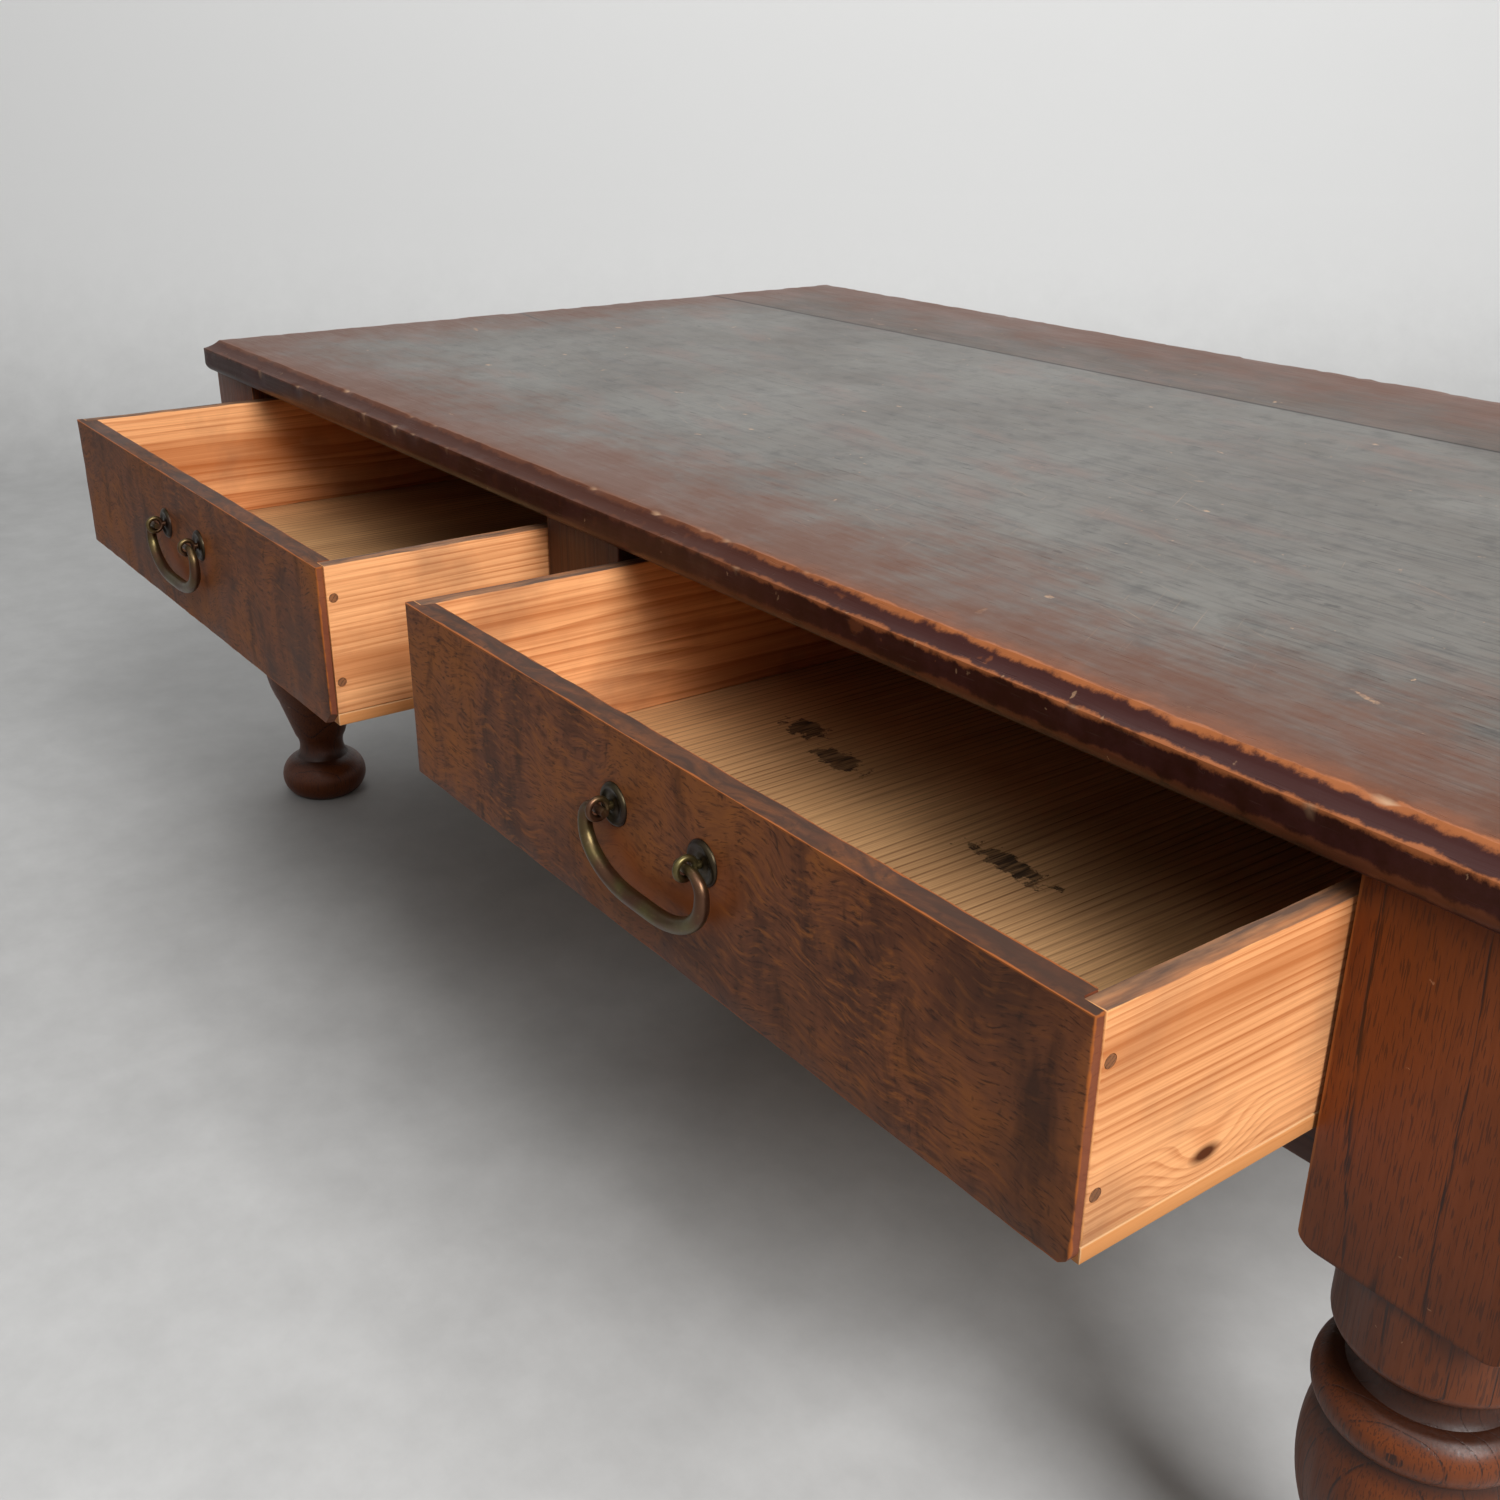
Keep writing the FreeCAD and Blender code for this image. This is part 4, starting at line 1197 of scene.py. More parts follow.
@dataclass
class WornBoard:
    """A piece of timber copied from its solid, with its long arrises rubbed round.

    Attributes:
        node: The solid that it stands for.
        body: The body that it rides on.
        slot: The record's material slot; not used.
        timber: Its wood.
        grain: Way of its fibres.
        arris_mm: Width of the rubbed arris.
        least_mm: Shortest edge that is rubbed.
        sharp_deg: Least angle of an edge that is rubbed.
        chips_mm: Breaks at the lower right front corner: a point off the corner, and the way outwards.
        cut_mm: Spacing of the cuts that let an arris wear unevenly, or 0 for none.
        uneven_mm: How unevenly the arrises are rubbed.
        facets: Facets across a rubbed arris.
        wave_mm: Length of the slow and of the quick unevenness along an arris.
        shares: The even part of the rubbing, and the shares of its slow and its quick unevenness.
    """

    node: str
    body: str
    slot: str
    timber: Timber
    grain: Grain
    arris_mm: float = 0.8
    least_mm: float = 9.0
    sharp_deg: float = 34.0
    chips_mm: tuple = ()
    cut_mm: float = 0.0
    uneven_mm: float = 0.35
    facets: int = 3
    wave_mm: tuple[float, float] = (14.0, 4.5)
    shares: tuple[float, float, float] = (0.5, 0.9, 0.5)

    def build(self, frame: dict) -> None:
        """Copies, rounds and dresses the board.
        """
        low, high = (Vector(corner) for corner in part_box(self.node))
        piece = merged_copy(frame, self.node, f"worn_{self.node}")
        self.mark(piece)
        rounding = piece.modifiers.new("arris", "BEVEL")
        rounding.limit_method = "WEIGHT"
        rounding.width = self.arris_mm * MM
        rounding.segments = self.facets
        bpy.ops.object.modifier_apply(modifier="arris")
        self.chip(piece, Vector((high.x, low.y, low.z)))
        if self.cut_mm:
            self.cut(piece, low, high)
            self.rub(piece, low, high)
        select_only(piece)
        bpy.ops.object.shade_smooth_by_angle(angle=BOARD_CREASE)
        piece.data.materials.append(self.timber.material(self.node, self.grain, low, high))
        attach(piece, self.body)
        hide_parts(self.node)
        log.info("%s: %d faces", piece.name, len(piece.data.polygons))

    def mark(self, piece: Object) -> None:
        """Marks the long sharp edges for rounding.

        Args:
            piece: The board.
        """
        mesh = bmesh.new()
        mesh.from_mesh(piece.data)
        weight = mesh.edges.layers.float.new("bevel_weight_edge")
        for edge in mesh.edges:
            sharp = len(edge.link_faces) == 2 and edge.calc_face_angle() > math.radians(self.sharp_deg)
            edge[weight] = self.share(edge) if sharp and edge.calc_length() > self.least_mm * MM else 0.0
        mesh.to_mesh(piece.data)
        mesh.free()

    def share(self, edge: bmesh.types.BMEdge) -> float:
        """Returns how much of the rubbing an edge gets."""
        return 1.0

    def chip(self, piece: Object, corner: Vector) -> None:
        """Breaks the chipped corner off.

        Args:
            piece: The board.
            corner: The corner.
        """
        for off, out in self.chips_mm:
            spot = corner + Vector(off) * MM
            select_only(piece)
            bpy.ops.object.mode_set(mode="EDIT")
            bpy.ops.mesh.select_all(action="SELECT")
            bpy.ops.mesh.bisect(plane_co=spot, plane_no=out, clear_outer=True, use_fill=True)
            bpy.ops.object.mode_set(mode="OBJECT")

    def cut(self, piece: Object, low: Vector, high: Vector) -> None:
        """Cuts the board across, so that its arrises have points to wear at.

        Args:
            piece: The board.
            low: Its lowest corner.
            high: Its highest corner.
        """
        select_only(piece)
        bpy.ops.object.mode_set(mode="EDIT")
        for axis in range(3):
            count = int((high[axis] - low[axis]) / (self.cut_mm * MM))
            for step in range(1, count):
                spot = low.copy()
                spot[axis] += (high[axis] - low[axis]) * step / count
                normal = Vector((0.0, 0.0, 0.0))
                normal[axis] = 1.0
                bpy.ops.mesh.select_all(action="SELECT")
                bpy.ops.mesh.bisect(plane_co=spot, plane_no=normal)
        bpy.ops.object.mode_set(mode="OBJECT")

    def rub(self, piece: Object, low: Vector, high: Vector) -> None:
        """Pushes points at the box's arrises inwards, unevenly.

        Args:
            piece: The board.
            low: Its lowest corner.
            high: Its highest corner.
        """
        near = 1.5 * self.arris_mm * MM
        long, short = (wave * MM for wave in self.wave_mm)
        even, slow_share, quick_share = self.shares
        for point in piece.data.vertices:
            gaps = sorted(min(point.co[i] - low[i], high[i] - point.co[i]) for i in range(3))
            if gaps[1] < near:
                slow = noise.noise(point.co / long)
                quick = noise.noise(point.co / short)
                rubbed = max(0.0, even + slow_share * slow + quick_share * quick)
                point.co -= point.normal * rubbed * self.uneven_mm * MM


@dataclass
class TopBoard(WornBoard):
    """A board of the top, moulded at its outer edges, whose arrises are chipped.

    Attributes:
        chamfer_mm: Hollow chamfer across and down.
        seam_share: Share of the rubbing that the joint between the boards gets.
        nick_mm: Depth of the deepest nicks.
        wave_mm: Length of the slow and of the quick unevenness along an arris.
        shares: The even part of the wear, and the shares of its slow and its quick unevenness.
        nick_wave_mm: Mean distance between nicks.
        nick_level: Level of the unevenness at which a nick starts.
        nick_rise: How quickly a nick deepens above that level.
        reach_mm: How far from an arris the wood is worn.
        rim_share: Share of the wear that is left at the end of its reach.
        wear_in: How far the wood goes inwards where it wears.
        wear_down: How far it goes down, at the upper and at the lower arris.
        bare_rise: How quickly a nick shows bare wood.
        bare_rim: Share of the bare wood that is left at the end of the reach.
        slow_shift: Where the slow unevenness starts, so that it doesn't follow the quick one.
        nick_shift: Where the nicks start.
    """

    chamfer_mm: tuple[float, float] = CHAMFER_MM
    seam_share: float = 0.35
    nick_mm: float = 2.4
    wave_mm: tuple[float, float] = (38.0, 7.0)
    shares: tuple[float, float, float] = (0.25, 0.35, 0.55)
    nick_wave_mm: float = 11.0
    nick_level: float = 0.3
    nick_rise: float = 2.0
    reach_mm: float = 2.2
    rim_share: float = 0.35
    wear_in: float = 0.5
    wear_down: tuple[float, float] = (1.0, 0.3)
    bare_rise: float = 1.6
    bare_rim: float = 0.3
    slow_shift: tuple[float, float, float] = (3.1, 0.7, 5.2)
    nick_shift: tuple[float, float, float] = (9.7, 2.3, 1.9)

    def share(self, edge: bmesh.types.BMEdge) -> float:
        """Rubs the joint between the boards least."""
        at_seam = all(abs(point.co.y - whole_top().seam) < WELD for point in edge.verts)
        return self.seam_share if at_seam else 1.0

    def rub(self, piece: Object, low: Vector, high: Vector) -> None:
        """Wears both arrises of the chamfer and knocks nicks out of them.

        Args:
            piece: The board.
            low: Its lowest corner; not used.
            high: Its highest corner.
        """
        wide, drop = (size * MM for size in self.chamfer_mm)
        long, short = (wave * MM for wave in self.wave_mm)
        even, slow_share, quick_share = self.shares
        slow_start, nick_start = Vector(self.slow_shift), Vector(self.nick_shift)
        left, near, _ = whole_top().low
        right, far, _ = whole_top().high
        bare = piece.data.attributes.new(BARE, "FLOAT", "POINT")
        for point in piece.data.vertices:
            here = point.co
            sides = (
                (here.x - left, Vector((1.0, 0.0, 0.0))),
                (right - here.x, Vector((-1.0, 0.0, 0.0))),
                (here.y - near, Vector((0.0, 1.0, 0.0))),
                (far - here.y, Vector((0.0, -1.0, 0.0))),
            )
            inward, level = min(sides, key=lambda side: side[0])
            upper = math.hypot(inward - wide, here.z - high.z)
            lower = math.hypot(inward, here.z - (high.z - drop))
            reach = min(upper, lower)
            if reach > self.reach_mm * MM:
                continue
            down = self.wear_down[0] if upper < lower else self.wear_down[1]
            away = (level * self.wear_in - Vector((0.0, 0.0, down))).normalized()
            quick = noise.noise(here / short)
            slow = noise.noise(here / long + slow_start)
            gone = max(0.0, even + quick_share * quick + slow_share * slow) * self.uneven_mm
            knocked = noise.noise(here / (self.nick_wave_mm * MM) + nick_start)
            nick = max(0.0, knocked - self.nick_level) * self.nick_rise
            gone += nick * self.nick_mm
            fall = 1.0 - reach / (self.reach_mm * MM)
            point.co += away * gone * (self.rim_share + (1.0 - self.rim_share) * fall) * MM
            seen = self.bare_rim + (1.0 - self.bare_rim) * fall
            bare.data[point.index].value = min(1.0, nick * self.bare_rise * seen)


@dataclass
class Handle:
    """One drawer's handle: a bail that hangs in two eyes, each through a dished rosette.

    Attributes:
        side: Which drawer it is on.
        bronze: Metal of the bail and the eyes.
        dark: Metal of the rosettes.
        bail_mm: Half width of the bail's axis, and its drop under the eyes.
        hook_mm: Radius of the hooks at the bail's ends.
        upright_mm: Straight between a hook and a lower bend.
        sweep_mm: Lower bends along the drawer.
        tip_mm: The bail's ends, from the middle.
        rod_mm: Radius of the rod at its ends and at its middle.
        rosette_mm: Radius and thickness of a rosette.
        eye_half_mm: Half the distance between the eyes.
        hook_steps: Steps round a hook.
        sweep_steps: Steps round a lower bend.
        curve_steps: Steps between two points of the bail's axis.
        rod_facets: Facets round the rod.
        spin_steps: Facets round a rosette.
    """

    side: str
    bronze: Material
    dark: Material
    bail_mm: tuple[float, float] = BAIL_MM
    hook_mm: float = 7.0
    upright_mm: float = 1.5
    sweep_mm: float = 30.0
    tip_mm: float = 23.0
    rod_mm: tuple[float, float] = (1.6, 3.3)
    rosette_mm: tuple[float, float] = (8.5, 1.6)
    eye_half_mm: float = 28.0
    hook_steps: int = 8
    sweep_steps: int = 12
    curve_steps: int = 4
    rod_facets: int = 16
    spin_steps: int = 40

    def half_axis(self) -> list[tuple[float, float]]:
        """Draws the right half of the bail's axis.

        Returns:
            Points from the tip to the middle, in millimetres from the hinge.
        """
        wide, drop = self.bail_mm
        hook, sweep = self.hook_mm, self.sweep_mm
        low = hook + self.upright_mm
        bend = drop - low
        spots = [(self.tip_mm, 0.0), ((self.tip_mm + wide - hook) / 2, 0.0)]
        for step in range(self.hook_steps + 1):
            angle = QUARTER * step / self.hook_steps
            spots.append((wide - hook + hook * math.sin(angle), hook * math.cos(angle) - hook))
        for step in range(self.sweep_steps + 1):
            angle = QUARTER * step / self.sweep_steps
            spots.append((wide - sweep + sweep * math.cos(angle), -low - bend * math.sin(angle)))
        spots.append((0.0, -drop))
        return spots

    def build(self, frame: dict) -> None:
        """Builds the handle's pieces in place.
        """
        drawer = f"drawer_{self.side}"
        hinge = next(joint for joint in frame["joints"] if joint["child"] == f"bail_{self.side}")
        axis = Vector(hinge["pos_m"])
        self.bail(axis)
        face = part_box(f"{drawer}_front")[0].y
        self.rosettes(drawer, Vector((axis.x, face, axis.z)))
        eyes = merged_copy(frame, f"{drawer}_eyes", f"{drawer}_split_eyes")
        bpy.ops.object.shade_smooth_by_angle(angle=ROD_CREASE)
        self.dress(eyes, drawer, f"{drawer}_eyes", self.bronze)

    def dress(self, piece: Object, body: str, node: str, metal: Material) -> None:
        """Gives a piece its metal and its place in the frame.

        Args:
            piece: The piece.
            body: The body that it rides on.
            node: The solid that it stands for.
            metal: Its metal.
        """
        piece.data.materials.clear()
        piece.data.materials.append(metal)
        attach(piece, body)
        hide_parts(node)
        log.info("%s: %d faces", piece.name, len(piece.data.polygons))

    def bail(self, axis: Vector) -> None:
        """Bends the tapered bail along its axis.

        Args:
            axis: Middle of the bail's hinge.
        """
        half = self.half_axis()
        spots = half + [(-x, z) for x, z in reversed(half[:-1])]
        curve = bpy.data.curves.new("bail_axis", "CURVE")
        curve.dimensions = "3D"
        curve.bevel_depth = MM
        # A round rod has four facets, and two more for each step of its resolution.
        curve.bevel_resolution = (self.rod_facets - 4) // 2
        curve.resolution_u = self.curve_steps
        curve.use_fill_caps = True
        line = curve.splines.new("NURBS")
        line.points.add(len(spots) - 1)
        thin, thick = self.rod_mm
        for index, (point, (x, z)) in enumerate(zip(line.points, spots)):
            share = 1.0 - abs(2 * index / (len(spots) - 1) - 1.0)
            point.co = (axis.x + x * MM, axis.y, axis.z + z * MM, 1.0)
            point.radius = thin + (thick - thin) * math.sin(QUARTER * share)
        line.order_u = 3
        line.use_endpoint_u = True
        piece = bpy.data.objects.new(f"cast_bail_{self.side}", curve)
        bpy.context.scene.collection.objects.link(piece)
        select_only(piece)
        bpy.ops.object.convert(target="MESH")
        piece = bpy.context.view_layer.objects.active
        close_up()
        bpy.ops.object.shade_smooth_by_angle(angle=ROD_CREASE)
        self.dress(piece, f"bail_{self.side}", f"bail_{self.side}", self.bronze)

    def rosettes(self, drawer: str, seat: Vector) -> None:
        """Spins two dished rosettes against the drawer front.

        Args:
            drawer: The body that they ride on.
            seat: The point on the front between the eyes.
        """
        radius, thick = self.rosette_mm
        profile = (
            (radius, 0.0),
            (radius, 0.3 * thick),
            (0.95 * radius, 0.7 * thick),
            (0.86 * radius, 0.97 * thick),
            (0.78 * radius, thick),
            (0.7 * radius, 0.8 * thick),
            (0.56 * radius, 0.5 * thick),
            (0.42 * radius, 0.55 * thick),
            (0.33 * radius, 0.9 * thick),
            (0.25 * radius, 0.95 * thick),
            (0.2 * radius, 0.9 * thick),
            (0.2 * radius, 0.0),
        )
        mesh = bpy.data.meshes.new(f"{drawer}_dished_rosettes")
        piece = bpy.data.objects.new(mesh.name, mesh)
        bpy.context.scene.collection.objects.link(piece)
        select_only(piece)
        for hand in (-1, 1):
            centre = seat + Vector((hand * self.eye_half_mm * MM, 0.0, 0.0))
            start = len(mesh.vertices)
            mesh.vertices.add(len(profile))
            mesh.edges.add(len(profile))
            for index, (out, forward) in enumerate(profile):
                mesh.vertices[start + index].co = centre + Vector((out, -forward, 0.0)) * MM
                pair = (start + index, start + (index + 1) % len(profile))
                mesh.edges[len(mesh.edges) - len(profile) + index].vertices = pair
            mesh.update()
            bpy.ops.object.mode_set(mode="EDIT")
            bpy.ops.mesh.select_all(action="DESELECT")
            bpy.ops.object.mode_set(mode="OBJECT")
            for index in range(len(profile)):
                mesh.vertices[start + index].select = True
                mesh.edges[len(mesh.edges) - len(profile) + index].select = True
            bpy.ops.object.mode_set(mode="EDIT")
            bpy.ops.mesh.spin(steps=self.spin_steps, angle=math.tau, center=centre, axis=(0.0, 1.0, 0.0))
            bpy.ops.object.mode_set(mode="OBJECT")
        close_up()
        bpy.ops.object.shade_smooth_by_angle(angle=ROSETTE_CREASE)
        self.dress(piece, drawer, f"{drawer}_rosettes", self.dark)


@dataclass(frozen=True)
class Lamp:
    """A square soft lamp that looks at the desk.

    Attributes:
        name: Its name.
        spot: Its place in metres.
        power: Its power in watts.
        side: Its side in metres.
        aim: The place that it looks at.
    """

    name: str
    spot: tuple[float, float, float]
    power: float
    side: float
    aim: tuple[float, float, float] = (0.0, 0.0, 0.2)

    def build(self) -> None:
        """Hangs the lamp."""
        data = bpy.data.lights.new(self.name, "AREA")
        data.energy = self.power
        data.size = self.side
        lamp = bpy.data.objects.new(self.name, data)
        bpy.context.scene.collection.objects.link(lamp)
        lamp.location = self.spot
        ahead = Vector(self.aim) - Vector(self.spot)
        lamp.rotation_euler = ahead.to_track_quat("-Z", "Y").to_euler()


@dataclass(frozen=True)
class Plaster:
    """Plaster, smoothed by hand: matt and faintly cloudy, without a sheen.

    Attributes:
        name: Common name of the finish.
        floor: Tones of the floor's clouds.
        wall: Tone of the wall.
        shade: Tone to light that bounces, which keeps the shade under the desk deep.
        cloud_mm: Width of the floor's clouds.
    """

    name: str = "pale_plaster"
    floor: tuple[str, str] = ("#bcbcbb", "#cacac9")
    wall: str = "#fafaf9"
    shade: str = "#727271"
    cloud_mm: float = 50.0

    def material(self, rise_mm: float) -> Material:
        """Makes the plaster.

        Args:
            rise_mm: Height at which the floor's tones have turned into the wall's.

        Returns:
            The material.
        """
        s = Surface(self.name)
        clouds = {"Vector": s.place, "Scale": 1 / self.cloud_mm, "Detail": 8.0, "Roughness": 0.65}
        mottle = s.add("TexNoise", clouds)
        low = s.add("ValToRGB", mottle, stops=tuple(zip((0.3, 0.7), self.floor)))
        rise = s.add("MapRange", s.z, 0.0, rise_mm)
        pale = s.add("MixRGB", rise, low, self.wall)
        eye = s.add("LightPath", output="Is Camera Ray")
        gloss = s.add("LightPath", output="Is Glossy Ray")
        seen = s.add("Math", eye, gloss, operation="MAXIMUM")
        colour = s.add("MixRGB", seen, self.shade, pale)
        rough = s.add("MapRange", mottle, 0.0, 1.0, 0.6, 0.8)
        return s.finish(colour, rough, mottle, 0.1)


@dataclass
class Stage:
    """Pale floor, soft light and the camera.

    Attributes:
        spot: The camera's place.
        heading: Its turn from the desk's depth, in radians.
        down: Its tilt below the horizon.
        roll: Its roll.
        focal_px: Focal length in pixels of the image.
        sensor_mm: Width of its sensor.
        nearest_m: Least distance that it sees.
        wall_m: The wall in front of the camera.
        sweep_m: Radius of the sweep from floor to wall.
        floor_m: Reach of the floor and the wall.
        bend_steps: Facets in the sweep.
        lamps: The lamps.
        sky: Tone of the world.
        sky_strength: Its strength as a light, and to the eye and in gloss.
    """

    spot: tuple[float, float, float] = (0.6505, -0.5886, 0.5316)
    heading: float = 0.938
    down: float = 0.410
    roll: float = 0.007
    focal_px: float = 1588.0
    sensor_mm: float = 36.0
    nearest_m: float = 0.01
    wall_m: float = 2.45
    sweep_m: float = 0.35
    floor_m: float = 9.0
    bend_steps: int = 12
    lamps: tuple[Lamp, ...] = (
        Lamp("key", (2.4, -0.5, 2.0), 96.0, 1.3),
        Lamp("high", (-0.5, 0.5, 2.7), 20.0, 2.0),
        Lamp("front", (0.8, -1.4, 2.3), 13.0, 1.4),
    )
    sky: str = "#f4f4f3"
    sky_strength: tuple[float, float] = (0.1, 0.85)

    def camera(self) -> None:
        """Sets the camera."""
        data = bpy.data.cameras.new("camera")
        data.sensor_width = self.sensor_mm
        data.lens = self.sensor_mm * self.focal_px / IMAGE_SIDE
        data.clip_start = self.nearest_m
        camera = bpy.data.objects.new("camera", data)
        bpy.context.scene.collection.objects.link(camera)
        level = math.cos(self.down)
        east, north = -math.sin(self.heading), math.cos(self.heading)
        ahead = Vector((east * level, north * level, -math.sin(self.down)))
        right = Vector((math.cos(self.heading), math.sin(self.heading), 0.0))
        up = right.cross(ahead)
        turned_right = math.cos(self.roll) * right + math.sin(self.roll) * up
        turned_up = -math.sin(self.roll) * right + math.cos(self.roll) * up
        turn = Matrix((turned_right, turned_up, -ahead)).transposed()
        camera.matrix_world = Matrix.Translation(self.spot) @ turn.to_4x4()
        bpy.context.scene.camera = camera

    def light(self) -> None:
        """Hangs the lamps, and sets a world that is paler to the eye and in gloss than as a light."""
        for lamp in self.lamps:
            lamp.build()
        world = bpy.data.worlds.new("studio")
        nodes = Nodes(world)
        eye = nodes.add("LightPath", output="Is Camera Ray")
        gloss = nodes.add("LightPath", output="Is Glossy Ray")
        seen = nodes.add("Math", eye, gloss, operation="MAXIMUM")
        strength = nodes.add("MapRange", seen, 0.0, 1.0, *self.sky_strength)
        nodes.add("OutputWorld", nodes.add("Background", self.sky, strength))
        bpy.context.scene.world = world

    def backdrop(self) -> None:
        """Sweeps a pale floor up into a wall behind the desk, square to the camera."""
        ahead = Vector((-math.sin(self.heading), math.cos(self.heading), 0.0))
        right = Vector((math.cos(self.heading), math.sin(self.heading), 0.0))
        start = Vector((self.spot[0], self.spot[1], 0.0))
        bend = self.wall_m - self.sweep_m
        profile = [(-self.floor_m, 0.0)]
        for step in range(self.bend_steps + 1):
            angle = QUARTER * step / self.bend_steps
            out = bend + self.sweep_m * math.sin(angle)
            profile.append((out, self.sweep_m * (1.0 - math.cos(angle))))
        profile.append((self.wall_m, self.floor_m))
        mesh = bpy.data.meshes.new("backdrop")
        shape = bmesh.new()
        rows = []
        for side in (-self.floor_m, self.floor_m):
            foot = start + right * side
            spots = [foot + ahead * out + Vector((0.0, 0.0, up)) for out, up in profile]
            rows.append([shape.verts.new(spot) for spot in spots])
        for index in range(len(profile) - 1):
            left, other = rows
            shape.faces.new((left[index], other[index], other[index + 1], left[index + 1]))
        shape.to_mesh(mesh)
        shape.free()
        mesh.shade_smooth()
        piece = bpy.data.objects.new("backdrop", mesh)
        bpy.context.scene.collection.objects.link(piece)
        mesh.materials.append(Plaster().material(self.sweep_m / MM))

    def build(self) -> None:
        """Builds the whole stage."""
        self.camera()
        self.light()
        self.backdrop()
        bpy.context.scene.view_settings.view_transform = "Standard"


@dataclass
class Top:
    """The top: a wide front board and a narrow back board.

    Attributes:
        arris_mm: Width of the rubbed arrises.
        cut_mm: Spacing of the cuts that let them wear unevenly.
        uneven_mm: How unevenly they are rubbed.
    """

    arris_mm: float = 0.9
    cut_mm: float = 6.0
    uneven_mm: float = 0.9

    def build(self, frame: dict) -> None:
        """Builds both boards.
        """
        edge = {"arris_mm": self.arris_mm, "cut_mm": self.cut_mm, "uneven_mm": self.uneven_mm}
        for place, timber in (("front", TOP_WOOD), ("back", BACK_TOP_WOOD)):
            TopBoard(f"top_{place}_board", "desk", "top_wood", timber, Grain.ALONG, **edge).build(frame)


@dataclass
class Stand:
    """What carries the top: aprons, centre stile, front rail and four turned legs.

    Attributes:
        leg_arris_mm: Width of the legs' rubbed arrises.
        leg_least_mm: Shortest edge of a leg that is rubbed.
    """

    leg_arris_mm: float = 1.2
    leg_least_mm: float = 3.0

    def build(self, frame: dict) -> None:
        """Builds the rails, then the legs.
        """
        rails = (
            ("apron_left", APRON_WOOD, Grain.ACROSS),
            ("apron_right", APRON_WOOD, Grain.ACROSS),
            ("apron_back", APRON_WOOD, Grain.ALONG),
            # The stile and the front rail take the wood with painted shade.
            ("centre_stile", SHADED_WOOD, Grain.UPRIGHT),
            ("front_rail", SHADED_WOOD, Grain.ALONG),
        )
        for name, timber, grain in rails:
            WornBoard(name, "desk", "leg_wood", timber, grain).build(frame)
        edge = {"arris_mm": self.leg_arris_mm, "least_mm": self.leg_least_mm}
        for end in ("front", "back"):
            for side in ("left", "right"):
                leg = f"leg_{end}_{side}"
                WornBoard(leg, "desk", "leg_wood", ZELKOVA, Grain.UPRIGHT, **edge).build(frame)


@dataclass
class Drawer:
    """One drawer: front, sides, back and bottom.

    Attributes:
        side: Which of the two it is.
        chips_mm: Breaks at the front's lower right corner: a point off the corner, and the way outwards.
        piths_mm: The trunk's middle for the left and the right side, so that no two have the same bands.
        knot_mm: A knot in the right side, from its lower front corner as depth and height, or none.
        stains_mm: Ink spilt on the bottom: place from its left front corner, and reach along and across.
        front_arris_mm: Width of the front's rubbed arrises.
        side_arris_mm: Width of the sides' rubbed arrises.
        inner_arris_mm: Width of the rubbed arrises of the back and the bottom.
        front_cut_mm: Spacing of the cuts that let the front's arrises wear unevenly.
        side_cut_mm: Spacing of the same cuts in the sides.
    """

    side: str
    chips_mm: tuple
    piths_mm: tuple[tuple[float, float], tuple[float, float]]
    knot_mm: tuple[float, float] | None = None
    stains_mm: tuple = ()
    front_arris_mm: float = 1.0
    side_arris_mm: float = 0.7
    inner_arris_mm: float = 0.6
    front_cut_mm: float = 9.0
    side_cut_mm: float = 12.0

    def build(self, frame: dict) -> None:
        """Builds the drawer's boards.
        """
        body = f"drawer_{self.side}"
        left, right = (replace(RAW_PINE, pith_mm=pith) for pith in self.piths_mm)
        right = replace(right, knot_mm=self.knot_mm)
        cedar = replace(BOTTOM_CEDAR, stains_mm=self.stains_mm)
        front_edge = {"cut_mm": self.front_cut_mm, "chips_mm": self.chips_mm}
        side_edge = {"cut_mm": self.side_cut_mm}
        parts = (
            ("front", "front_wood", FRONT_WOOD, Grain.ALONG, self.front_arris_mm, front_edge),
            ("left_side", "drawer_wood", left, Grain.ACROSS, self.side_arris_mm, side_edge),
            ("right_side", "drawer_wood", right, Grain.ACROSS, self.side_arris_mm, side_edge),
            ("back", "drawer_wood", RAW_PINE, Grain.ALONG, self.inner_arris_mm, {}),
            ("bottom", "bottom_wood", cedar, Grain.ACROSS, self.inner_arris_mm, {}),
        )
        for part, slot, timber, grain, arris, edge in parts:
            WornBoard(f"{body}_{part}", body, slot, timber, grain, arris, **edge).build(frame)


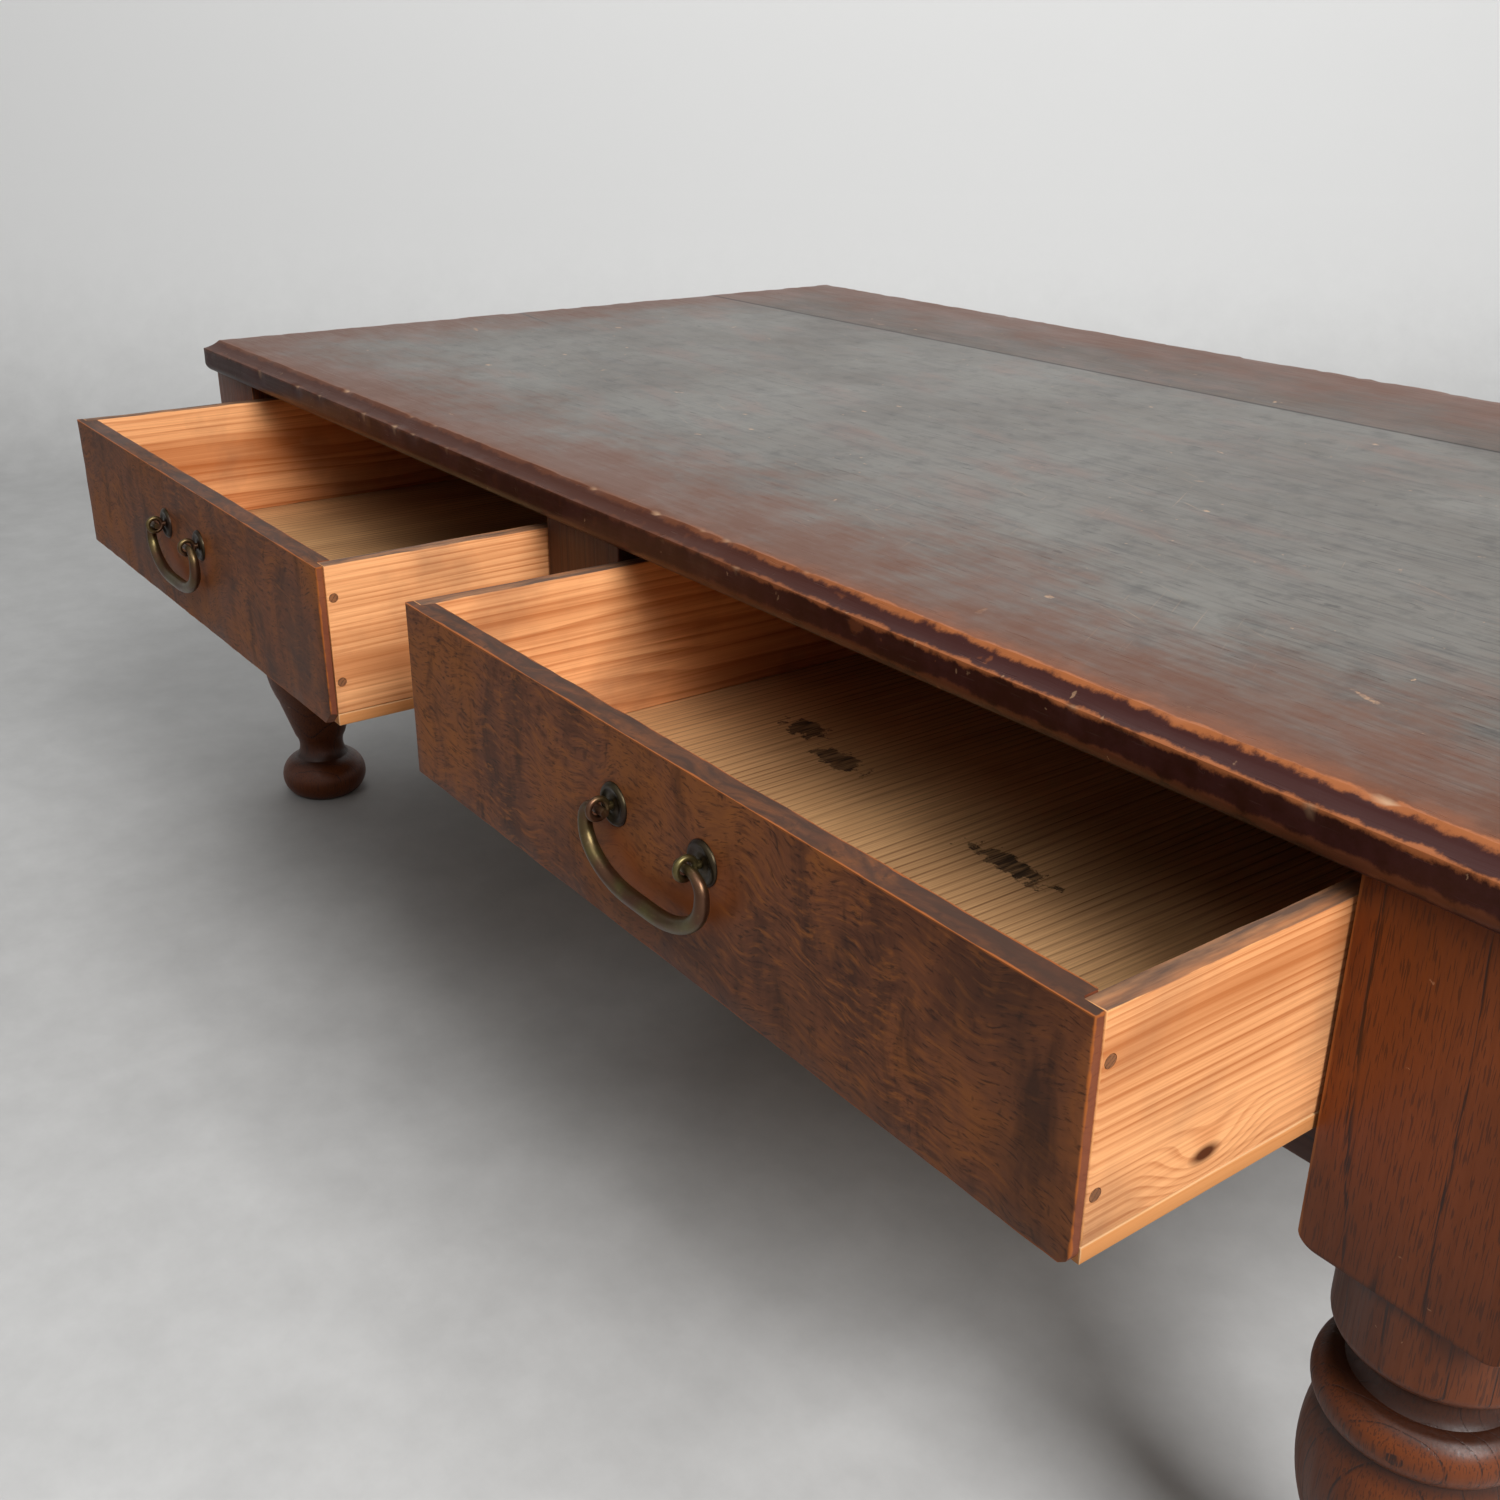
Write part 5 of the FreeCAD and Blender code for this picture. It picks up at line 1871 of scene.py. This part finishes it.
# The left drawer, with one break at its corner
LEFT_DRAWER = Drawer(
    "left",
    chips_mm=(((-7.5, 0.05, 0.2), (0.66, -0.12, -0.74)),),
    piths_mm=((310.0, 95.0), (-60.0, -420.0)),
)
# The right drawer, with two breaks at its corner, a knot in its right side and spilt ink
RIGHT_DRAWER = Drawer(
    "right",
    chips_mm=(((-2.5, 0.05, 0.2), (0.9, 0.0, -0.45)), ((-4.2, 0.05, 0.2), (0.62, 0.0, -0.78))),
    piths_mm=((140.0, -215.0), (310.0, 95.0)),
    knot_mm=(49.05, 9.0),
    stains_mm=((73.0, 160.85, 13.0, 9.0), (110.0, 150.85, 17.0, 8.0), (228.0, 140.85, 22.0, 7.0)),
)


@dataclass
class PlainSolids:
    """The solids that stay as they are: what nobody sees from outside, and the drawers' pegs.

    Attributes:
        along: Beginnings of the names of the hidden ones whose fibres run along the desk.
        across: Beginnings of the names of the hidden ones whose fibres run from front to back.
    """

    along: tuple[str, ...] = ("drawer_stops", "top_blocks", "top_tongue")
    across: tuple[str, ...] = ("runner", "guide")

    def build(self, frame: dict) -> None:
        """Gives each of them its wood.
        """
        for name, solid in frame["nodes"].items():
            low, high = (Vector(corner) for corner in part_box(name))
            if name.startswith(self.along):
                wood = HIDDEN_WOOD.material(name, Grain.ALONG, low, high)
            elif name.startswith(self.across):
                wood = HIDDEN_WOOD.material(name, Grain.ACROSS, low, high)
            elif name.endswith("pegs"):
                wood = PEG_WOOD.material(name, Grain.ALONG, low, high)
            else:
                continue
            solid.data.materials.clear()
            solid.data.materials.append(wood)
            log.info("%s: %d faces", name, len(solid.data.polygons))


def main() -> None:
    """Loads the frame and builds the desk round it."""
    logging.basicConfig(level=logging.INFO)
    for start in list(bpy.data.objects):
        bpy.data.objects.remove(start)
    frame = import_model()
    Stage().build()
    Top().build(frame)
    Stand().build(frame)
    for drawer in (LEFT_DRAWER, RIGHT_DRAWER):
        drawer.build(frame)
    bronze = BAIL_BRONZE.material()
    dark = ROSETTE_BRONZE.material()
    for side in ("left", "right"):
        Handle(side, bronze, dark).build(frame)
    PlainSolids().build(frame)


if __name__ == "__main__":
    main()
